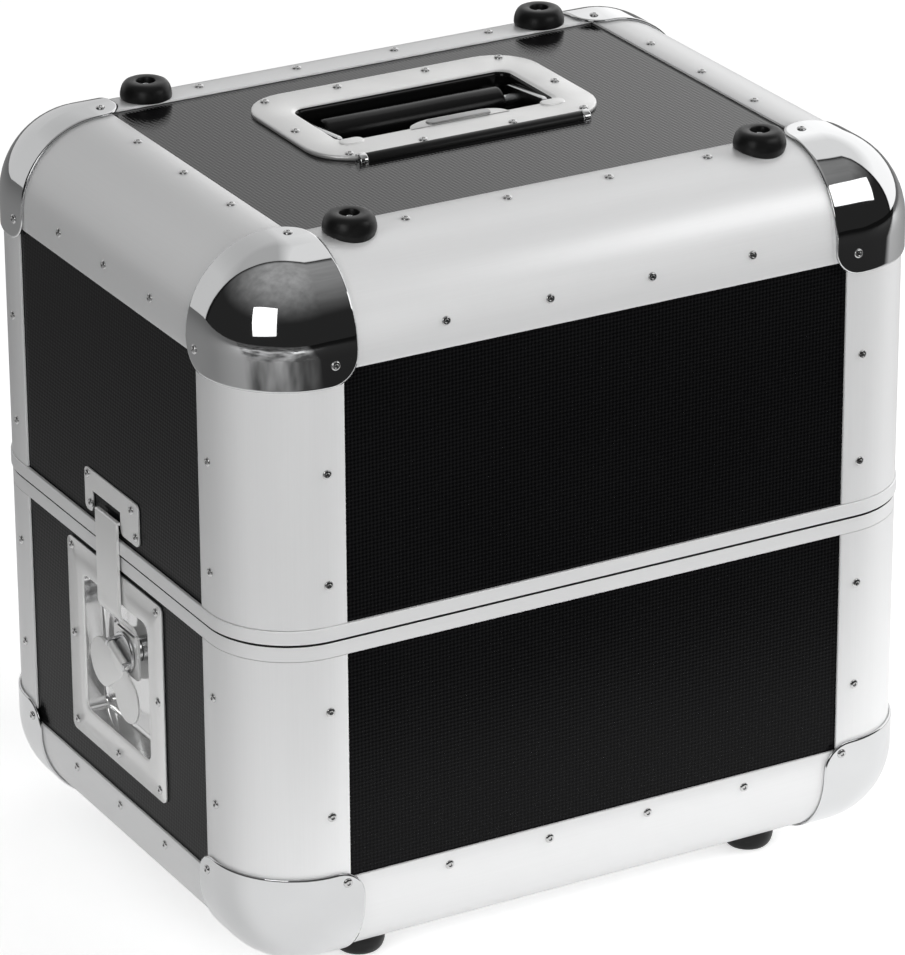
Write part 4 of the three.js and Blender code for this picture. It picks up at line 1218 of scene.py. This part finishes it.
for side in SIDES:
    bm = bmesh.new()
    spun(bm, SPINDLE_OUTLINE, 40)
    for sign in (-1, 1):
        inner, outer = sorted((sign * 8.3, sign * 10.3))
        latch_block(bm, (inner, -2.2, -4.2), (outer, 2.2, 0.9))
    put(bm, WING_TILT)
    place_latch(bm, side)
    remake(f"latch_spindle_{side}", bm, STEEL, f"{side}_spindle", "steel")
    bm = bmesh.new()
    rod(bm, 2 * MM, -8 * MM, 8 * MM, BARREL, soft=0.4 * MM)
    rod(bm, 1.1 * MM, -10.6 * MM, 10.6 * MM, BARREL, segments=16, soft=0.2 * MM)
    for sign in (-1, 1):
        lobe = (sign * 13.5 * MM, -18 * MM, 12.5 * MM)
        sunk = LOBE_STEP if sign > 0 else 0
        hull_plate(bm, [LOBE_NECK, lobe], WING_BACK + sunk / 4, WING_FACE - sunk, 0.4 * MM)
    back, face = WING_BACK + LOBE_STEP / 2, WING_FACE - 1.2 * LOBE_STEP
    hull_plate(bm, [LOBE_NECK, LOBE_BRIDGE], back, face, 0.3 * MM)
    latch_block(bm, (-6.5, -9, -3.25), (6.5, 0.6, -1.4))
    put(bm, WING_TILT)
    place_latch(bm, side)
    remake(f"latch_wing_{side}", bm, NICKEL, f"{side}_wing", "latch_plate")
print("made two spindles and two wings")

# %% [markdown]
# ## Foam lining
#
# The tray and the lid are lined with thin foam, and a thicker pad lies on the floor. A lining is
# a cube with all its edges rounded, cut off at the rim of its half, with windows for the dishes
# that sink into it. It then gets its thickness.

# %% Linings
LINING_FACE = WALL + 0.4 * MM
LINING = 3 * MM
PAD_GAP = 0.4 * MM


def rounded_box(bm, inset):
    low = Vector((-HALF_WIDTH, -HALF_DEPTH, BOTTOM)) + Vector((inset,) * 3)
    high = Vector((HALF_WIDTH, HALF_DEPTH, TOP)) - Vector((inset,) * 3)
    cuboid(bm, low, high)
    round_edges(bm, bm.edges[:], EDGE_RADIUS - inset, 8)


def lining(half, rim, keep_above, window_low, window_high):
    bm = bmesh.new()
    rounded_box(bm, LINING_FACE)
    slice_at(bm, (0, 0, rim), (0, 0, -1 if keep_above else 1), clear=True)
    for axis in range(3):
        if math.isfinite(window_low[axis]):
            normal = Vector((0, 0, 0))
            normal[axis] = 1
            for value in (window_low[axis], window_high[axis]):
                slice_at(bm, normal * value, normal)
    inside = []
    for face in bm.faces:
        middle = face.calc_center_median()
        is_level = abs(face.normal.z) > 0.5
        spans = zip(window_low, middle, window_high)
        if is_level == keep_above and all(low < value < high for low, value, high in spans):
            inside.append(face)
    bmesh.ops.delete(bm, geom=inside, context="FACES")
    bmesh.ops.recalc_face_normals(bm, faces=bm.faces)
    face_away(bm, Vector((0, 0, (TOP + BOTTOM) / 2)))
    name = f"{half}_lining"
    piece = remake(name, bm, FOAM, half, "foam", wall=LINING, fillet=0.6 * MM, closed=False)


ANY = math.inf
latch_window = ((-ANY, -38 * MM, 84 * MM), (ANY, 38 * MM, 162 * MM))
handle_window = ((-61 * MM, -3 * MM, -ANY), (61 * MM, 52 * MM, ANY))
lining("base", SPLIT - BASE_VALANCE - SEAT, False, *latch_window)
lining("lid", SPLIT + LID_VALANCE + SEAT, True, *handle_window)

bm = bmesh.new()
PAD_LOW = BOTTOM + LINING_FACE + LINING + SEAT
PAD_HIGH = PAD_LOW + 5 * MM
rounded_box(bm, LINING_FACE + LINING + PAD_GAP)
slice_at(bm, (0, 0, PAD_HIGH), (0, 0, 1), clear=True)
slice_at(bm, (0, 0, PAD_LOW), (0, 0, -1), clear=True)
for level in (PAD_HIGH, PAD_LOW):
    rim = [edge for edge in bm.edges
           if edge.is_boundary and abs(edge.verts[0].co.z - level) < NEAR]
    bmesh.ops.contextual_create(bm, geom=rim)
pad = remake("base_floor_pad", bm, FOAM, "base", "foam", fillet=1.2 * MM)
print("made two linings and a floor pad")

# %% [markdown]
# ## Panels
#
# The panels are plain boards, so the solid model's own meshes are right as they are, and only get
# their laminate.

# %% Finish on the panels
panels = [node for name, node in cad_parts.items() if "_panel_" in name]
for panel in panels:
    panel.data.materials.clear()
    panel.data.materials.append(TOP_LAMINATE if panel.name.endswith("_top") else SIDE_LAMINATE)
print("finished", len(panels), "panels")

# %% [markdown]
# ## Studio
#
# The case stands on a white sheet in a dark room, in front of a wide white backdrop. Chrome shows
# all of that, so the room is drawn in the world's shader by direction: white behind the case and
# brighter to the right, a dim ceiling, and dark elsewhere. The camera sees plain white instead.
# Reflections show the floor white near the case and behind it, and dark with some clutter further
# out in front. For the camera the floor stays pale and takes the shadow of the case. Four soft
# lamps give the light, and two small ones only show in the chrome as the two bright windows.

# %% World
world = bpy.data.worlds.new("room")
bpy.context.scene.world = world
world.use_nodes = True
room = Nodes(world.node_tree)
background = world.node_tree.nodes["Background"]
direction = room.add("ShaderNodeTexCoord", output="Generated")
BEHIND = (0.5, 0.866, 0.0)
SIDEWAYS = (0.866, -0.5, 0.0)
UPWARDS = (0.0, 0.0, 1.0)
BACKDROP_LOW = 0.96
BACKDROP_HIGH = 0.68
BACKDROP_LEFT = 0.7
BACKDROP_RIGHT = 1.3
BACKDROP_EDGE = (0.33, 0.35)
BACKDROP_RISE = (0.42, 0.66)
BACKDROP_SIDES = (-0.1, 0.07)
FRAME_EDGE = (0.27, 0.32)
FRAME_SHADE = 0.9
CEILING_RISE = (0.42, 0.98)
CEILING_LEVEL = 0.38
ROOM_LEVEL = 0.022
ahead = room.vector_maths("DOT_PRODUCT", direction, BEHIND)
aside = room.vector_maths("DOT_PRODUCT", direction, SIDEWAYS)
height = room.vector_maths("DOT_PRODUCT", direction, UPWARDS)
backdrop = room.spread(ahead, *BACKDROP_EDGE)
dark_frame = room.spread(ahead, *FRAME_EDGE) * FRAME_SHADE
sockets = {"Vector": direction, "Scale": 7, "Detail": 3}
streaks = room.add("ShaderNodeTexNoise", None, sockets, "Fac")
overhead = room.spread(height, *CEILING_RISE) ** 1.4 * room.spread(streaks, 0.3, 0.7, 0.75, 1.1)
ceiling = (overhead * CEILING_LEVEL + ROOM_LEVEL) * (1 - dark_frame)
upright_fade = room.spread(height, *BACKDROP_RISE, BACKDROP_LOW, BACKDROP_HIGH)
sideways_fade = room.spread(aside, *BACKDROP_SIDES, BACKDROP_LEFT, BACKDROP_RIGHT)
light = backdrop * (upright_fade * sideways_fade) + (1 - backdrop) * ceiling
seen = room.add("ShaderNodeLightPath", output="Is Camera Ray")
room.feed(background.inputs["Strength"], seen + (1 - seen) * light)
background.inputs["Color"].default_value = (1, 1, 1, 1)
print("made the room")

# %% Floor
WHITE = (0.86, 0.86, 0.86)
FLOOR_DARK = (0.02, 0.02, 0.02)
UNLIT = (0.03, 0.03, 0.03)
CLUTTER_LIGHT = (0.42, 0.42, 0.42)
SHEET_FAR = (0.4, 0.4, 0.4)
GLOW_NEAR = (0.55, 0.55, 0.55)
GLOW_FAR = (1.0, 1.0, 1.0)
LIFT = 0.3
# Stretches in metres, from the middle of the floor unless X or Y is in the name
LIT_FADE = (0.27, 0.50)
SHEET_FADE = (0.3, 0.8)
LIFT_FADE = (0.60, 0.40)
SHOWN_FADE = (0.5, 1.5)
BEHIND_Y = (-0.44, -0.30)
CLUTTER_X = (0.1, -0.4)


def floor_finish():
    material = bpy.data.materials.new("white_floor")
    material.use_nodes = True
    tree = material.node_tree
    tree.nodes.clear()
    nodes = Nodes(tree)
    place = nodes.coordinates()
    far = nodes.vector_maths("LENGTH", place)
    x, y = nodes.split(place)[:2]
    glossy = nodes.add("ShaderNodeLightPath", output="Is Glossy Ray")
    seen = nodes.add("ShaderNodeLightPath", output="Is Camera Ray")

    def matt(colour):
        return nodes.add("ShaderNodeBsdfDiffuse", None, {"Color": colour})

    def with_glow(surface, colour, strength):
        glow = nodes.add("ShaderNodeEmission", None, {"Color": colour, "Strength": strength})
        return nodes.add("ShaderNodeAddShader", None, {0: surface, 1: glow})

    # Painted pool of light: for light bouncing off the floor, it is white near the case and almost
    # black further out.
    lit = nodes.between(nodes.spread(far, *LIT_FADE), WHITE, UNLIT)
    behind = nodes.spread(y, *BEHIND_Y)
    clutter = nodes.spread(nodes.noise(1.8, 3), 0.38, 0.62, 0.15, 1.0) * nodes.spread(x, *CLUTTER_X)
    room_floor = nodes.between(clutter, FLOOR_DARK, CLUTTER_LIGHT)
    # In reflections the sheet is painted darker further from the case: painted falloff of light.
    sheet_floor = nodes.between(nodes.spread(far, *SHEET_FADE), WHITE, SHEET_FAR)
    mirrored = nodes.between(behind, room_floor, sheet_floor)
    # A painted glow: near the case and behind it, the floor glows a little, only in reflections.
    close = nodes.spread(far, *LIFT_FADE) * behind * glossy * LIFT
    hidden = with_glow(matt(nodes.between(glossy, lit, mirrored)), (*WHITE, 1), close)
    distant = nodes.spread(far, *SHOWN_FADE)
    shine = nodes.between(distant, GLOW_NEAR, GLOW_FAR)
    shown = with_glow(matt(nodes.between(distant, WHITE, FLOOR_DARK)), shine, 1.0)
    both = nodes.add("ShaderNodeMixShader", None, {0: seen, 1: hidden, 2: shown})
    output = tree.nodes.new("ShaderNodeOutputMaterial")
    nodes.feed(output.inputs["Surface"], both)
    return material


bm = bmesh.new()
bmesh.ops.create_grid(bm, x_segments=1, y_segments=1, size=6)
mesh = bpy.data.meshes.new("floor")
bm.to_mesh(mesh)
bm.free()
mesh.materials.append(floor_finish())
floor = bpy.data.objects.new("floor", mesh)
bpy.context.scene.collection.objects.link(floor)
print("laid the floor")

# %% Lamps
def softbox(name, place, aim, size, power, window=False, lean=0):
    """A window shows in mirrors and lights nothing, and every other lamp does the opposite."""
    light = bpy.data.lights.new(name, "AREA")
    light.shape = "RECTANGLE"
    light.size, light.size_y = size
    light.energy = power
    lamp = bpy.data.objects.new(name, light)
    lamp.location = place
    toward = Vector(aim) - Vector(place)
    facing = toward.to_track_quat("-Z", "Y").to_matrix() @ turn(lean).to_3x3()
    lamp.rotation_euler = facing.to_euler()
    lamp.visible_camera = False
    lamp.visible_glossy = window
    lamp.visible_diffuse = not window
    bpy.context.scene.collection.objects.link(lamp)


MIDDLE = (0, 0, 0.2)
LEFT_BALL = (-0.14, -0.1, 0.33)
RIGHT_BALL = (0.14, -0.1, 0.33)
softbox("left_lamp", (-2.2, -0.9, 0.8), MIDDLE, (1.2, 1.0), 20)
softbox("front_lamp", (-0.2, -2.5, 0.8), MIDDLE, (1.2, 0.9), 25)
softbox("low_lamp", (-0.3, -2.2, 0.2), MIDDLE, (1.6, 0.35), 11)
softbox("right_lamp", (2.3, -0.9, 1.0), MIDDLE, (1.2, 1.0), 50)
softbox("window_left", (-0.575, -0.42, 0.591), LEFT_BALL, (0.31, 0.35), 0.7, True, 8)
softbox("window_right", (0.331, -0.362, 0.567), RIGHT_BALL, (0.33, 0.17), 0.3, True, -18)
print("hung the lamps")

# %% Output
scene = bpy.context.scene
scene.view_settings.view_transform = "Standard"
